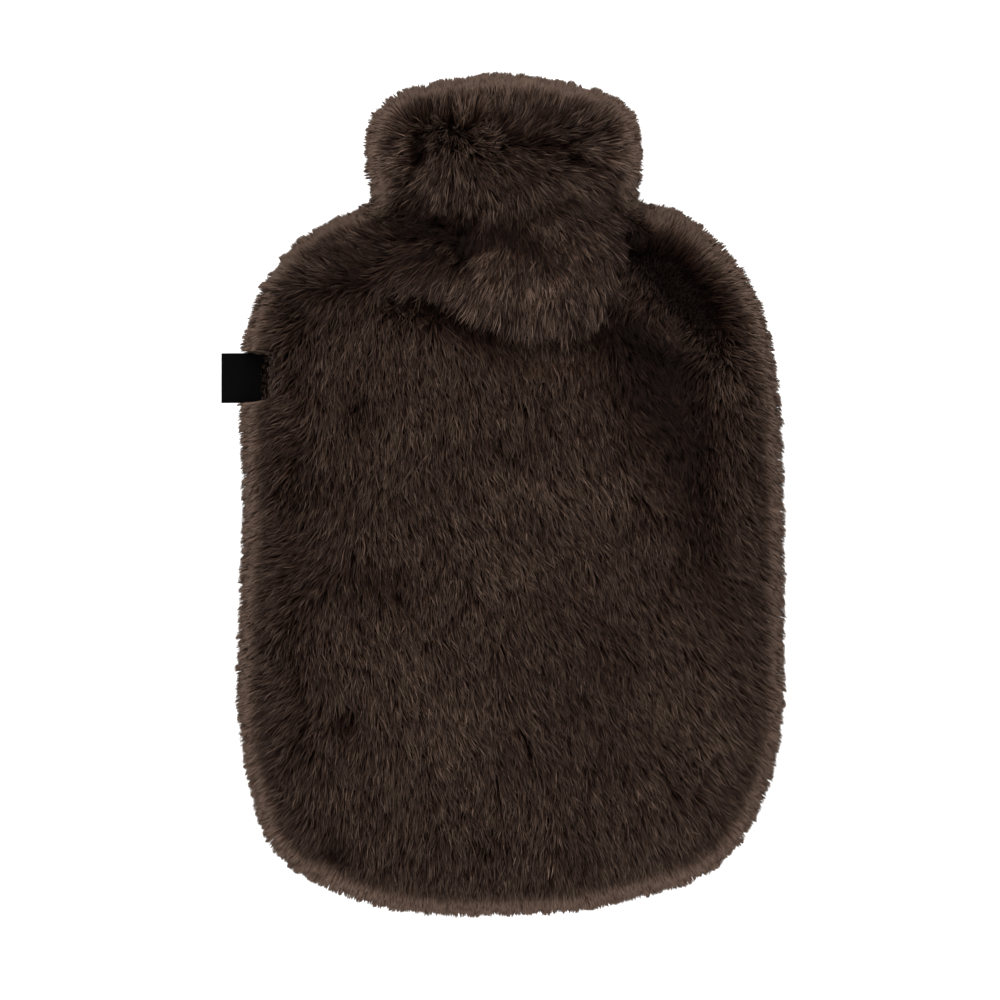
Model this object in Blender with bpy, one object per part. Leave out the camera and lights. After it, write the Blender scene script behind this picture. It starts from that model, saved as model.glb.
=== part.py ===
"""Hot water bottle cover in long-pile faux fur, lying on its back, head towards +Y.

The cover is a hollow pouch of three fur panels and one folded side label. The back panel is a tray
that holds the whole outline, the front panel covers the body, and the hood panel covers the head and
neck and ends in a flap, which hangs over the front panel's tucked hem and closes the mouth. A panel is
as thick as its backing and pile together. Lengths are in millimetres until a mesh is made.
"""

from collections import namedtuple

import bpy
import bmesh
import numpy as np
from mathutils import Vector, noise

MM = 0.001                      # one millimetre in metres
SHARP_ANGLE = np.radians(60.0)  # edges bent more than this stay sharp

# Perimeter seam and the clearances between neighbouring pieces
SEAM_Z = 37.0                   # height of the perimeter seam above the surface the cover lies on
SEAM_GAP = 0.3                  # between the back panel and the panels in front of it
HEM_GAP = 0.7                   # between the flap and the tucked hem under it

# Outline at the tips of the pile, bottom to top: one row for each section across the cover.
# y, left, right: outline. front, back: crown above and below the seam. roll: depth of the rounded rim.
BOTTOM_POLE = (-21.0, -189.6)
TOP_POLE = (-7.0, 189.0)
SECTIONS = np.array(
    [
        # y,      left,   right, front, back, roll
        (-188.0, -46.0, 24.0, 41.0, 38.5, 42.0),
        (-184.7, -64.5, 47.0, 41.0, 38.5, 42.0),
        (-180.0, -78.5, 64.0, 41.2, 38.5, 42.0),
        (-173.9, -90.5, 81.0, 41.5, 38.6, 42.0),
        (-166.0, -101.5, 92.5, 42.0, 38.8, 42.0),
        (-157.0, -109.5, 101.0, 42.5, 39.0, 42.0),
        (-145.0, -115.5, 109.5, 43.0, 39.2, 42.0),
        (-128.0, -119.8, 116.0, 43.5, 39.5, 42.0),
        (-105.0, -122.6, 121.0, 44.0, 39.5, 42.0),
        (-60.0, -123.2, 122.0, 44.5, 39.5, 42.0),
        (-5.0, -121.7, 121.8, 44.5, 39.5, 42.0),
        (36.0, -123.2, 120.6, 43.5, 39.5, 42.0),
        (66.0, -120.6, 117.0, 41.5, 39.0, 40.0),
        (87.0, -115.2, 110.9, 39.0, 38.5, 38.0),
        (103.0, -106.4, 102.4, 36.0, 37.5, 36.0),
        (114.0, -96.2, 92.8, 33.0, 36.0, 34.0),
        (121.5, -85.0, 84.0, 31.0, 34.5, 32.0),
        (126.5, -73.5, 75.0, 30.0, 34.0, 30.0),
        (129.5, -64.2, 56.0, 30.0, 33.5, 30.0),
        (134.0, -63.8, 55.4, 32.0, 33.5, 30.0),
        (142.0, -65.6, 57.6, 35.5, 34.0, 31.0),
        (154.0, -66.4, 58.5, 37.0, 34.5, 32.0),
        (165.4, -65.2, 56.0, 36.5, 34.5, 32.0),
        (171.5, -61.5, 53.0, 36.0, 34.5, 32.0),
        (177.0, -54.5, 48.0, 35.0, 34.5, 32.0),
        (181.6, -48.0, 39.0, 34.5, 34.0, 32.0),
        (185.5, -33.5, 26.5, 34.0, 34.0, 32.0),
    ]
)

# Room for the bottle, bottom to top, with the same columns
CAVITY_BOTTOM_POLE = (-18.0, -172.0)
CAVITY_TOP_POLE = (-4.0, 172.0)
CAVITY = np.array(
    [
        # y,      left,   right, front, back, roll
        (-168.5, -55.0, 40.0, 26.2, 21.2, 26.0),
        (-160.0, -82.0, 71.0, 26.7, 21.7, 26.0),
        (-145.0, -97.5, 90.0, 27.7, 22.2, 26.0),
        (-120.0, -104.5, 101.0, 28.7, 22.7, 26.0),
        (-60.0, -106.5, 105.0, 29.2, 22.7, 26.0),
        (0.0, -106.0, 105.0, 29.2, 22.7, 26.0),
        (50.0, -105.0, 102.0, 27.7, 22.7, 26.0),
        (80.0, -99.0, 94.5, 24.7, 22.2, 24.0),
        (96.0, -87.0, 81.0, 22.2, 21.2, 22.0),
        (108.0, -71.0, 64.0, 19.0, 19.1, 20.0),
        (118.0, -56.0, 48.5, 16.5, 18.1, 18.0),
        (128.0, -48.0, 40.0, 13.5, 16.5, 16.0),
        (138.0, -47.0, 39.5, 15.5, 16.5, 16.0),
        (152.0, -48.5, 41.0, 18.0, 17.0, 18.0),
        (164.0, -43.0, 35.0, 18.0, 17.0, 18.0),
        (169.5, -28.0, 20.0, 17.5, 17.0, 18.0),
    ]
)
END_SQUEEZE = 60.0              # length at each end over which cavity rows draw in to its poles

# Rounded rim and crown of the cross-section
ACROSS_POWER = 2.6              # spreads the columns towards the rim
RIM_POWER = 2.3                 # 2 is a circular rim, more is squarer
CROWN_FALL = 0.10               # share of the crown lost from the middle to the rim

# Flap hem, left to right: across is the place over the half width, hem_y the edge's height,
# band how far the front panel is tucked under it, raise how high the flap stands over the body
HEM = np.array(
    [
        # across, hem_y, band, raise
        (-1.00, 93.0, 9.0, 1.5),
        (-0.86, 90.0, 12.0, 2.5),
        (-0.66, 83.0, 15.0, 4.0),
        (-0.46, 86.5, 16.0, 6.0),
        (-0.30, 85.0, 17.0, 9.0),
        (-0.13, 75.0, 18.0, 10.5),
        (0.03, 66.0, 18.0, 11.0),
        (0.17, 64.5, 18.0, 11.0),
        (0.30, 66.0, 18.0, 11.0),
        (0.42, 71.0, 17.0, 11.0),
        (0.53, 92.0, 11.0, 9.0),
        (0.64, 110.0, 9.0, 4.0),
        (0.78, 115.0, 8.0, 0.5),
        (1.00, 116.0, 8.0, 0.0),
    ]
)
HEM_LOCK = 2.2                  # how far every other lock of the flap's edge hangs lower
HEM_LOCK_ROOM = 0.08            # columns closer together than this have lower locks
TUCK_SHARE = 0.5                # share of the wall that the tucked hem keeps
TUCK_START = -0.6               # where the front panel starts to dip, in bands before the hem
TUCK_RUN = 0.6                  # length of that dip, in bands
LIP_RUN = 1.0                   # length of the flap's rounded edge, in bands
LIP_POWER = 2.0                 # a circular edge
LIP_EDGE = 1.6                  # thickness of the flap's edge itself
RAISE_TOP_Y = 128.0             # where the flap's raise has gone, at the neck
RAISE_FADE = 34.0               # length over which it goes
RAISE_SIDE = 0.2                # share of the half width over which it goes at the rims

# Partings and hollows of the pile, each a path of (x, y, depth) and a half width
HOLLOWS = (
    ("right shoulder hollow", 12.0,
     [(57, 117, 4), (67, 106, 10), (73, 98, 13), (85, 82, 12), (93, 66, 6), (101, 50, 3), (107, 20, 1)]),
    ("crease beside the flap", 7.0, [(49, 68, 4), (57, 66, 4), (67, 57, 3), (65, 40, 1)]),
    ("right body parting", 7.0, [(78, 49, 1), (85, 14, 3), (85, -34, 1)]),
    ("left rim parting", 7.0, [(-96, 78, 2), (-99, 20, 3), (-99, -60, 3), (-95, -118, 1)]),
    ("neck crease", 7.5, [(-72, 129, 9), (-55, 127, 9), (-39, 123, 9), (-23, 113, 8)]),
    ("head whorl", 8.0, [(-43, 155, 6), (-40, 147, 6)]),
    ("head cleft", 7.0, [(2, 157, 1), (20, 155, 3), (38, 156, 4), (52, 158, 2)]),
)

# Lumps of the pile and the locks at the rim
LUMP = 2.0                      # height of the lumps
LUMP_WIDTH = 12.0               # across the pile's run
LUMP_LENGTH = 26.0              # along it
RIM_LOCK = 2.2                  # how far the locks at the rim stand in or out
RIM_LOCKS = 58                  # locks round the whole outline
RIM_LOCK_BEATS = 9              # how often round it they go from small to large
RIM_LOCK_SIZE = 0.7             # their middle size, as a share of the largest
RIM_LOCK_SWING = 0.6            # how much that share changes
RIM_LOCK_DEPTH = 7.0            # how far in from the outline they fade
BACK_PILE = 3.0                 # place in the noise of each panel's lumps
FRONT_PILE = 11.0
HOOD_PILE = 23.0
REST_LUMP_FADE = 8.0            # height over which the back's lumps fade towards the surface under it

# Resolution of the outline and the panels
SIDE_POINTS = 700
SIDE_RISE = 0.001               # keeps each point of a side above the last
POLE_STEP = 0.5                 # least height between a pole and the section next to it
FINE_POINTS = 2001              # points from which evenly spaced ones are read
BACK_ROWS = 68
BACK_COLUMNS = 19
FRONT_ROWS = 47                 # from the bottom to the start of the hem rows
FRONT_COLUMNS = 29
STEEP_CLOSER = 3.0              # how much closer together the columns are where the hem is steep
STEEP_MIDDLE = 0.53
STEEP_SPREAD = 0.14
STRETCH_START_Y = -10.0         # above this the front panel's rows bend to follow the hem
HEM_ROWS = (-0.9, -0.6, -0.4, -0.2, 0.0, 0.5, 1.0)
FLAP_ROWS = (0.0, 0.15, 0.5, 1.0, 1.15, 1.45)
NECK_ROW_Y = 134.0              # the hood's rows run straight across above this
NECK_ROWS = 7
HEAD_ROWS = 17

# Side label: woven, folded once, caught in the left seam
LABEL_OUT_X = -131.2
LABEL_IN_X = -112.7
LABEL_LOW_Y = 40.7
LABEL_HIGH_Y = 63.2
LABEL_PLY = 0.4                 # thickness of one layer
LABEL_SPACE = 0.4               # between its two layers
LABEL_DROOP = 1.6               # how far the free end hangs
LABEL_DROOP_START = 0.5         # share of its reach where it starts to
LABEL_STEPS = 8
NOTCH_MARGIN = 8.0              # parted pile beyond the label's two ends
NOTCH_RUN = 5.0                 # where the parted pile closes again
NOTCH_DEPTH = 12.0              # how far in it is held


def through(at, places, values):
    """Smooth curve through the points (places, values), read at the places asked for."""
    slopes = np.gradient(values, places)
    at = np.clip(at, places[0], places[-1])
    low = np.clip(np.searchsorted(places, at) - 1, 0, len(places) - 2)
    run = places[low + 1] - places[low]
    u = (at - places[low]) / run
    start = (1 + 2 * u) * (1 - u) ** 2 * values[low] + u * (1 - u) ** 2 * run * slopes[low]
    end = u ** 2 * (3 - 2 * u) * values[low + 1] - u ** 2 * (1 - u) * run * slopes[low + 1]
    return start + end


def ease(u):
    """Soft step from 0 to 1 as u goes from 0 to 1."""
    u = np.clip(u, 0.0, 1.0)
    return u * u * (3 - 2 * u)


def rolled(u, power=RIM_POWER):
    """Rounded edge: upright at u = 0, level at u = 1."""
    return (1 - (1 - np.clip(u, 0.0, 1.0)) ** power) ** (1 / power)


# Points of one face, their outward normals, their distance to the outline and the share passed of it
Skin = namedtuple("Skin", "points normal away turn")


class Form:
    """A closed pillow form read from a table of sections and two poles."""

    def __init__(self, table, bottom_pole, top_pole):
        self.y, self.left, self.right, self.front, self.back, self.roll = table.T
        self.bottom = bottom_pole
        self.top = top_pole
        self.sides = [self.side(self.left, self.right), self.side(self.right, self.left)]
        self.outline = np.vstack([self.sides[0], self.sides[1][::-1]])

    def side(self, own, other):
        """Dense points up one side; the other side's end points level it at the poles."""
        x = np.concatenate([[other[0], self.bottom[0]], own, [self.top[0], other[-1]]])
        y = np.concatenate([[self.y[0], self.bottom[1]], self.y, [self.top[1], self.y[-1]]])
        chord = np.concatenate([[0.0], np.cumsum(np.hypot(np.diff(x), np.diff(y)))])
        at = np.linspace(chord[1], chord[-2], SIDE_POINTS)
        rising = np.clip(through(at, chord, y), self.bottom[1], self.top[1])
        rising = np.maximum.accumulate(rising) + np.linspace(0.0, SIDE_RISE, SIDE_POINTS)
        return np.column_stack([through(at, chord, x), rising])

    def rows(self, count):
        """Heights of sections evenly spaced along the outline: both poles, and none close to a pole."""
        y = np.unique(np.concatenate([side[:, 1] for side in self.sides]))
        xs = [np.interp(y, side[:, 1], side[:, 0]) for side in self.sides]
        steps = [np.hypot(np.diff(x), np.diff(y)) for x in xs]
        run = np.concatenate([[0.0], np.cumsum(0.5 * (steps[0] + steps[1]))])
        heights = np.interp(np.linspace(0.0, run[-1], count), run, y)
        inside = (heights > y[0] + POLE_STEP) & (heights < y[-1] - POLE_STEP)
        return np.concatenate([y[:1], heights[inside], y[-1:]])

    def nearest_rim(self, x, y):
        """For each point in plan: distance to the outline, way out across it, share of it passed."""
        start = self.outline
        step = np.roll(start, -1, axis=0) - start
        length = np.maximum(np.hypot(step[:, 0], step[:, 1]), 1e-6)
        to = np.stack([x, y], axis=-1)[..., None, :] - start
        along = np.clip((to * step).sum(axis=-1) / length ** 2, 0.0, 1.0)
        away = np.sqrt(((to - along[..., None] * step) ** 2).sum(axis=-1))
        nearest = away.argmin(axis=-1)
        out = np.column_stack([-step[:, 1], step[:, 0]]) / length[:, None]
        turn = (np.cumsum(length) - length) / length.sum()
        return away.min(axis=-1), out[nearest], turn[nearest]

    def skin(self, y, across, front):
        """The front or back face at heights y and places across, from -1 at the left rim to 1."""
        left = np.interp(y, self.sides[0][:, 1], self.sides[0][:, 0])
        right = np.interp(y, self.sides[1][:, 1], self.sides[1][:, 0])
        x = 0.5 * (left + right) + 0.5 * (right - left) * across
        crown = through(y, self.y, self.front if front else self.back)
        roll = through(y, self.y, self.roll)
        away, out, turn = self.nearest_rim(x, y)
        away = np.where(np.abs(across) > 1 - 1e-9, 0.0, away)
        depth = np.clip(away / roll, 0.0, 1.0)
        lift = crown * rolled(depth) * (1 - CROWN_FALL * across ** 2)
        side = 1.0 if front else -1.0
        level = ((1 - depth) ** (RIM_POWER - 1) / roll)[..., None] * out
        upright = side * rolled(depth) ** (RIM_POWER - 1) / crown
        normal = np.concatenate([level, upright[..., None]], axis=-1)
        normal /= np.maximum(np.linalg.norm(normal, axis=-1, keepdims=True), 1e-9)
        return Skin(np.stack([x, y, SEAM_Z + side * lift], axis=-1), normal, away, turn)


COVER = Form(SECTIONS, BOTTOM_POLE, TOP_POLE)
ROOM = Form(CAVITY, CAVITY_BOTTOM_POLE, CAVITY_TOP_POLE)


def columns(count, closer=0.0):
    """Places across a section, left rim to right rim, closer together where the hem is steep."""
    turn = np.cos(np.linspace(np.pi, 0.0, FINE_POINTS))
    fine = np.sign(turn) * np.abs(turn) ** (2 / ACROSS_POWER)
    weight = 1 + closer * np.exp(-(((fine - STEEP_MIDDLE) / STEEP_SPREAD) ** 2))
    run = np.cumsum(weight) - weight[0]
    return np.interp(np.linspace(0.0, run[-1], count), run, fine)


def room_y(y):
    """Height in the cavity that faces height y of the outside."""
    low_gap = CAVITY_BOTTOM_POLE[1] - BOTTOM_POLE[1]
    high_gap = TOP_POLE[1] - CAVITY_TOP_POLE[1]
    low = low_gap * np.clip(1 - (y - BOTTOM_POLE[1]) / END_SQUEEZE, 0.0, 1.0)
    high = high_gap * np.clip(1 - (TOP_POLE[1] - y) / END_SQUEEZE, 0.0, 1.0)
    return y + low - high


def hem(across, name):
    """One column of the flap's table at the places across."""
    column = {"y": 1, "band": 2, "raise": 3}[name]
    value = through(across, HEM[:, 0], HEM[:, column])
    if name == "y":
        locks = np.where(np.arange(across.shape[-1]) % 2 == 0, 1.0, -1.0)
        room = np.clip(np.gradient(across, axis=-1) / HEM_LOCK_ROOM, 0.0, 1.0) ** 3
        value = value + 0.5 * HEM_LOCK * locks * room
    return value


def hollow_depth(x, y):
    """Depth of the partings and hollows at each point in plan."""
    depth = np.zeros_like(x)
    here = np.stack([x, y], axis=-1)
    for _name, half_width, path in HOLLOWS:
        path = np.array(path, float)
        for start, end in zip(path[:-1], path[1:]):
            step = end[:2] - start[:2]
            along = np.clip(((here - start[:2]) @ step) / (step @ step), 0.0, 1.0)
            away = np.linalg.norm(here - start[:2] - along[..., None] * step, axis=-1)
            deep = start[2] + along * (end[2] - start[2])
            depth = np.maximum(depth, deep * np.exp(-((away / half_width) ** 2)))
    return depth


def lumps(points, seed):
    """Soft lumps of the pile, longer along the cover than across it."""
    flat = points.reshape(-1, 3)
    scale = (1 / LUMP_WIDTH, 1 / LUMP_LENGTH, 1 / LUMP_WIDTH)
    values = [noise.noise(Vector(p * scale) + Vector((seed, 0, 0))) for p in flat]
    return np.array(values).reshape(points.shape[:-1])


def front_skin(y, across):
    """The front face with its partings and hollows sunk in."""
    skin = COVER.skin(y, across, front=True)
    inward = (1 - rim_share(skin)) * hollow_depth(skin.points[..., 0], skin.points[..., 1])
    return skin._replace(points=skin.points - skin.normal * inward[..., None])


def rim_share(skin):
    """1 at the outline, fading inwards over the depth of a lock."""
    return np.exp(-((skin.away / RIM_LOCK_DEPTH) ** 2))


def piled(skin, points, seed, height=1.0):
    """Points on a skin, moved by the lumps and by the locks at the rim."""
    rise = 2 * LUMP * height * lumps(points, seed)
    at_rim = rim_share(skin)
    angle = 2 * np.pi * skin.turn
    size = RIM_LOCK * (RIM_LOCK_SIZE + RIM_LOCK_SWING * np.sin(RIM_LOCK_BEATS * angle + seed))
    lock = size * np.cos(RIM_LOCKS * angle)
    plan = skin.normal * (1.0, 1.0, 0.0)
    return points + skin.normal * ((1 - at_rim) * rise)[..., None] + plan * (at_rim * lock)[..., None]


def level_rim(points, front):
    """Sets both rims on their side of the seam's gap, and keeps every other point past them."""
    limit = SEAM_Z + (0.5 if front else -0.5) * SEAM_GAP
    keep = np.maximum if front else np.minimum
    points[..., 2] = keep(points[..., 2], limit)
    for column in (0, -1):
        points[:, column, 2] = limit
    return points


def closed_shell(name, outer, inner, open_end=None):
    """Mesh of a wall between two grids of rows, closed along both rims and at an open end."""
    bm = bmesh.new()
    grids = [[[bm.verts.new(Vector(p) * MM) for p in row] for row in grid.tolist()]
             for grid in (outer, inner)]
    for rows in grids:
        for low, high in zip(rows[:-1], rows[1:]):
            for i in range(len(low) - 1):
                split_cell(bm, low[i], low[i + 1], high[i + 1], high[i])
    for side in (0, -1):
        for i in range(len(grids[0]) - 1):
            out_low, out_high = grids[0][i][side], grids[0][i + 1][side]
            bm.faces.new((out_low, out_high, grids[1][i + 1][side], grids[1][i][side]))
    if open_end is not None:
        cap_end(bm, grids[0][open_end], grids[1][open_end])
    bmesh.ops.remove_doubles(bm, verts=bm.verts, dist=0.001 * MM)
    bmesh.ops.triangulate(bm, faces=bm.faces)
    bmesh.ops.recalc_face_normals(bm, faces=bm.faces)
    mesh = bpy.data.meshes.new(name)
    bm.to_mesh(mesh)
    bm.free()
    return mesh


def split_cell(bm, a, b, c, d):
    """Two triangles for one cell of a grid, parted along its shorter diagonal."""
    if (a.co - c.co).length <= (b.co - d.co).length:
        bm.faces.new((a, b, c))
        bm.faces.new((a, c, d))
    else:
        bm.faces.new((a, b, d))
        bm.faces.new((b, c, d))


def cap_end(bm, outer, inner):
    """Closes a wall's open end, where its two rows have the same columns."""
    for i in range(len(outer) - 1):
        bm.faces.new((outer[i], outer[i + 1], inner[i + 1], inner[i]))


def make_material(name, colour, roughness, sheen=0.0):
    """Principled finish for one kind of cloth."""
    material = bpy.data.materials.new(name)
    material.use_nodes = True
    shader = material.node_tree.nodes["Principled BSDF"]
    shader.inputs["Base Color"].default_value = (*colour, 1.0)
    shader.inputs["Roughness"].default_value = roughness
    shader.inputs["Sheen Weight"].default_value = sheen
    material.diffuse_color = (*colour, 1.0)
    return material


def add_piece(name, mesh, material):
    """Links a piece into the scene, shaded smooth but for its sharp edges."""
    piece = bpy.data.objects.new(name, mesh)
    bpy.context.scene.collection.objects.link(piece)
    mesh.materials.append(material)
    mesh.shade_smooth()
    mesh.set_sharp_from_angle(angle=SHARP_ANGLE)
    return piece


def back_panel():
    """Tray that holds the whole outline, flat where it lies on the surface."""
    across = columns(BACK_COLUMNS)[None, :]
    inner_across = columns((BACK_COLUMNS + 1) // 2)[None, :]
    y = COVER.rows(BACK_ROWS)[:, None]
    skin = COVER.skin(y + 0 * across, across + 0 * y, front=False)
    outer = piled(skin, skin.points, BACK_PILE, ease(skin.points[..., 2] / REST_LUMP_FADE))
    outer[..., 2] = np.maximum(outer[..., 2], 0.0)
    inner = ROOM.skin(room_y(y) + 0 * inner_across, inner_across + 0 * y, front=False).points
    return closed_shell("back_panel", level_rim(outer, False), level_rim(inner, False))


def parted_for_label(points):
    """Holds the front pile back from the label, so that the label lies bare on the seam."""
    y = points[..., 1]
    beyond = np.maximum(LABEL_LOW_Y - NOTCH_MARGIN - y, y - LABEL_HIGH_Y - NOTCH_MARGIN)
    limit = LABEL_IN_X + SEAM_GAP - NOTCH_DEPTH * ease(beyond / NOTCH_RUN)
    points[..., 0] = np.maximum(points[..., 0], limit)
    return points


def tuck(place):
    """Share of the wall that the flap takes, for a place in bands from the hem."""
    return TUCK_SHARE * ease((place - TUCK_START) / TUCK_RUN)


def front_panel():
    """Cover of the body, its upper hem thinned and tucked under the flap."""
    across = columns(FRONT_COLUMNS, STEEP_CLOSER)[None, :]
    hem_y, band = hem(across, "y"), hem(across, "band")
    y = COVER.rows(BACK_ROWS)
    straight = y[y < STRETCH_START_Y][:, None] + 0 * across
    bent = np.linspace(0.0, 1.0, FRONT_ROWS - len(straight) + 1)[:-1, None]
    first_hem_y = hem_y + HEM_ROWS[0] * band
    stretched = STRETCH_START_Y + bent * (first_hem_y - STRETCH_START_Y)
    places = np.array(HEM_ROWS)[:, None]
    y = np.vstack([straight, stretched, hem_y + places * band])
    place = np.vstack([0 * straight, 0 * stretched, places + 0 * across]) + 0 * y
    place[:len(straight) + len(stretched)] = HEM_ROWS[0]
    across = across + 0 * y
    skin = front_skin(y, across)
    loose = np.clip(place / TUCK_START, 0.0, 1.0)[..., None]
    outer = skin.points + (piled(skin, skin.points, FRONT_PILE) - skin.points) * loose
    inner = ROOM.skin(room_y(y), across, front=True).points
    outer = parted_for_label(outer + (inner - outer) * tuck(place)[..., None])
    return closed_shell("front_panel", level_rim(outer, True), level_rim(inner, True), open_end=-1)


def hood_panel():
    """Cover of the head and neck, ending below in the flap."""
    across = columns(FRONT_COLUMNS, STEEP_CLOSER)[None, :]
    hem_y, band = hem(across, "y"), hem(across, "band")
    places = np.array(FLAP_ROWS)[:, None]
    flap = hem_y + places * band
    climb = np.linspace(0.0, 1.0, NECK_ROWS + 1)[1:, None]
    neck = flap[-1] + climb * (NECK_ROW_Y - flap[-1])
    rows = COVER.rows(FINE_POINTS)
    run = np.linspace(np.searchsorted(rows, NECK_ROW_Y), len(rows) - 1, HEAD_ROWS + 1)[1:]
    head = rows[run.astype(int)][:, None] + 0 * across
    y = np.vstack([flap, neck, head])
    across = across + 0 * y
    skin = front_skin(y, across)
    inner = ROOM.skin(room_y(y), across, front=True).points

    under = np.vstack([tuck(places) + 0 * flap, 1.0 + 0 * neck, 1.0 + 0 * head])
    under[len(FLAP_ROWS) - 1] = 1.0
    wall = inner - skin.points
    thickness = np.maximum(np.linalg.norm(wall, axis=-1), 1e-6)
    share = under - np.where(under < 1.0, HEM_GAP / thickness, 0.0)
    underside = skin.points + wall * share[..., None]

    lip = rolled((y - hem_y) / (LIP_RUN * band), LIP_POWER)
    fade = ease((RAISE_TOP_Y - y) / RAISE_FADE)
    raised = hem(across, "raise") * fade * rolled((1 - np.abs(across)) / RAISE_SIDE)
    outer = piled(skin, skin.points + skin.normal * raised[..., None], HOOD_PILE)
    edge = underside - wall * (LIP_EDGE / thickness)[..., None]
    outer = edge + (outer - edge) * lip[..., None]
    return closed_shell("hood_panel", level_rim(outer, True), level_rim(underside, True), open_end=0)


def side_label():
    """Woven label folded once: two layers joined at the free end, which droops a little."""
    share = np.linspace(0.0, 1.0, LABEL_STEPS)
    x = LABEL_IN_X + share * (LABEL_OUT_X + LABEL_PLY - LABEL_IN_X)
    droop = np.clip((share - LABEL_DROOP_START) / (1 - LABEL_DROOP_START), 0.0, 1.0) ** 2
    under = SEAM_Z + 0.5 * SEAM_GAP - LABEL_DROOP * droop
    low = np.column_stack([x, under])
    high = np.column_stack([x, under + 2 * LABEL_PLY + LABEL_SPACE])
    fold_in = np.column_stack([x[:-1], (under + LABEL_PLY)[:-1]])
    fold_out = np.column_stack([x[:-1], (under + LABEL_PLY + LABEL_SPACE)[:-1]])
    nose = np.array([[LABEL_OUT_X, under[-1] + 0.5 * LABEL_PLY],
                     [LABEL_OUT_X, under[-1] + 1.5 * LABEL_PLY + LABEL_SPACE]])
    section = np.vstack([low, nose, high[::-1], fold_out, fold_in[::-1]])
    bm = bmesh.new()
    outline = [bm.verts.new((px * MM, LABEL_LOW_Y * MM, pz * MM)) for px, pz in section.tolist()]
    face = bm.faces.new(outline)
    grown = bmesh.ops.extrude_face_region(bm, geom=[face])
    moved = [item for item in grown["geom"] if isinstance(item, bmesh.types.BMVert)]
    bmesh.ops.translate(bm, verts=moved, vec=(0, (LABEL_HIGH_Y - LABEL_LOW_Y) * MM, 0))
    bmesh.ops.triangulate(bm, faces=bm.faces)
    bmesh.ops.recalc_face_normals(bm, faces=bm.faces)
    mesh = bpy.data.meshes.new("side_label")
    bm.to_mesh(mesh)
    bm.free()
    return mesh


def main():
    """Clears the scene and builds the four pieces."""
    for old in list(bpy.data.objects):
        bpy.data.objects.remove(old)
    fur = make_material("dark brown pile", (0.032, 0.019, 0.015), 0.85, sheen=0.2)
    back_fur = make_material("brown pile, back", (0.045, 0.028, 0.021), 0.88, sheen=0.2)
    hood_fur = make_material("brown pile, head", (0.036, 0.022, 0.017), 0.85, sheen=0.2)
    woven = make_material("black woven label", (0.006, 0.006, 0.007), 0.6)
    add_piece("back_panel", back_panel(), back_fur)
    add_piece("front_panel", front_panel(), fur)
    add_piece("hood_panel", hood_panel(), hood_fur)
    add_piece("side_label", side_label(), woven)


main()
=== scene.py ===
"""Dressed model of a long-pile faux-fur hot water bottle cover, lying on its back.

Each fur panel is a thin knitted backing with a pile of fine tapered strands on it. The strands are rooted
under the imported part's surface and their tips reach it. Tables are in millimetres, in the part's frame:
+X right, +Y towards the head, +Z out of the front.
"""

import itertools
import logging
from dataclasses import dataclass
from enum import Enum

import bmesh
import bpy
import numpy as np
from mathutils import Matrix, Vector


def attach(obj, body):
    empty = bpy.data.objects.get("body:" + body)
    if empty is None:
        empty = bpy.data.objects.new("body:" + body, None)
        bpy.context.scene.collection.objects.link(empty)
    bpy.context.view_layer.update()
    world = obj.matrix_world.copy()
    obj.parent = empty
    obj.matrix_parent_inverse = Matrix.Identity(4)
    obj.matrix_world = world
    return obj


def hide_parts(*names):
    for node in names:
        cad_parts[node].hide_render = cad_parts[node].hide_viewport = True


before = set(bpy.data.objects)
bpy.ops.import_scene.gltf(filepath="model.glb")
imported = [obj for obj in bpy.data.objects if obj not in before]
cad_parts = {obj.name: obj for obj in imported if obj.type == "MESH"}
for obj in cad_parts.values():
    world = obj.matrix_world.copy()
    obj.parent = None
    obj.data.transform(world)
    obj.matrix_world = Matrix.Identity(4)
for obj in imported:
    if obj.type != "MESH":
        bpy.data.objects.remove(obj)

LOG = logging.getLogger("cover")
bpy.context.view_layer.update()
MM = 0.001
Triple = tuple[float, float, float]  # a colour, a place, or a path's x, y and depth
PILE_UV = "OFBake"
UV_WIDTH = 0.004  # gives each strand some area in its map

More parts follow.
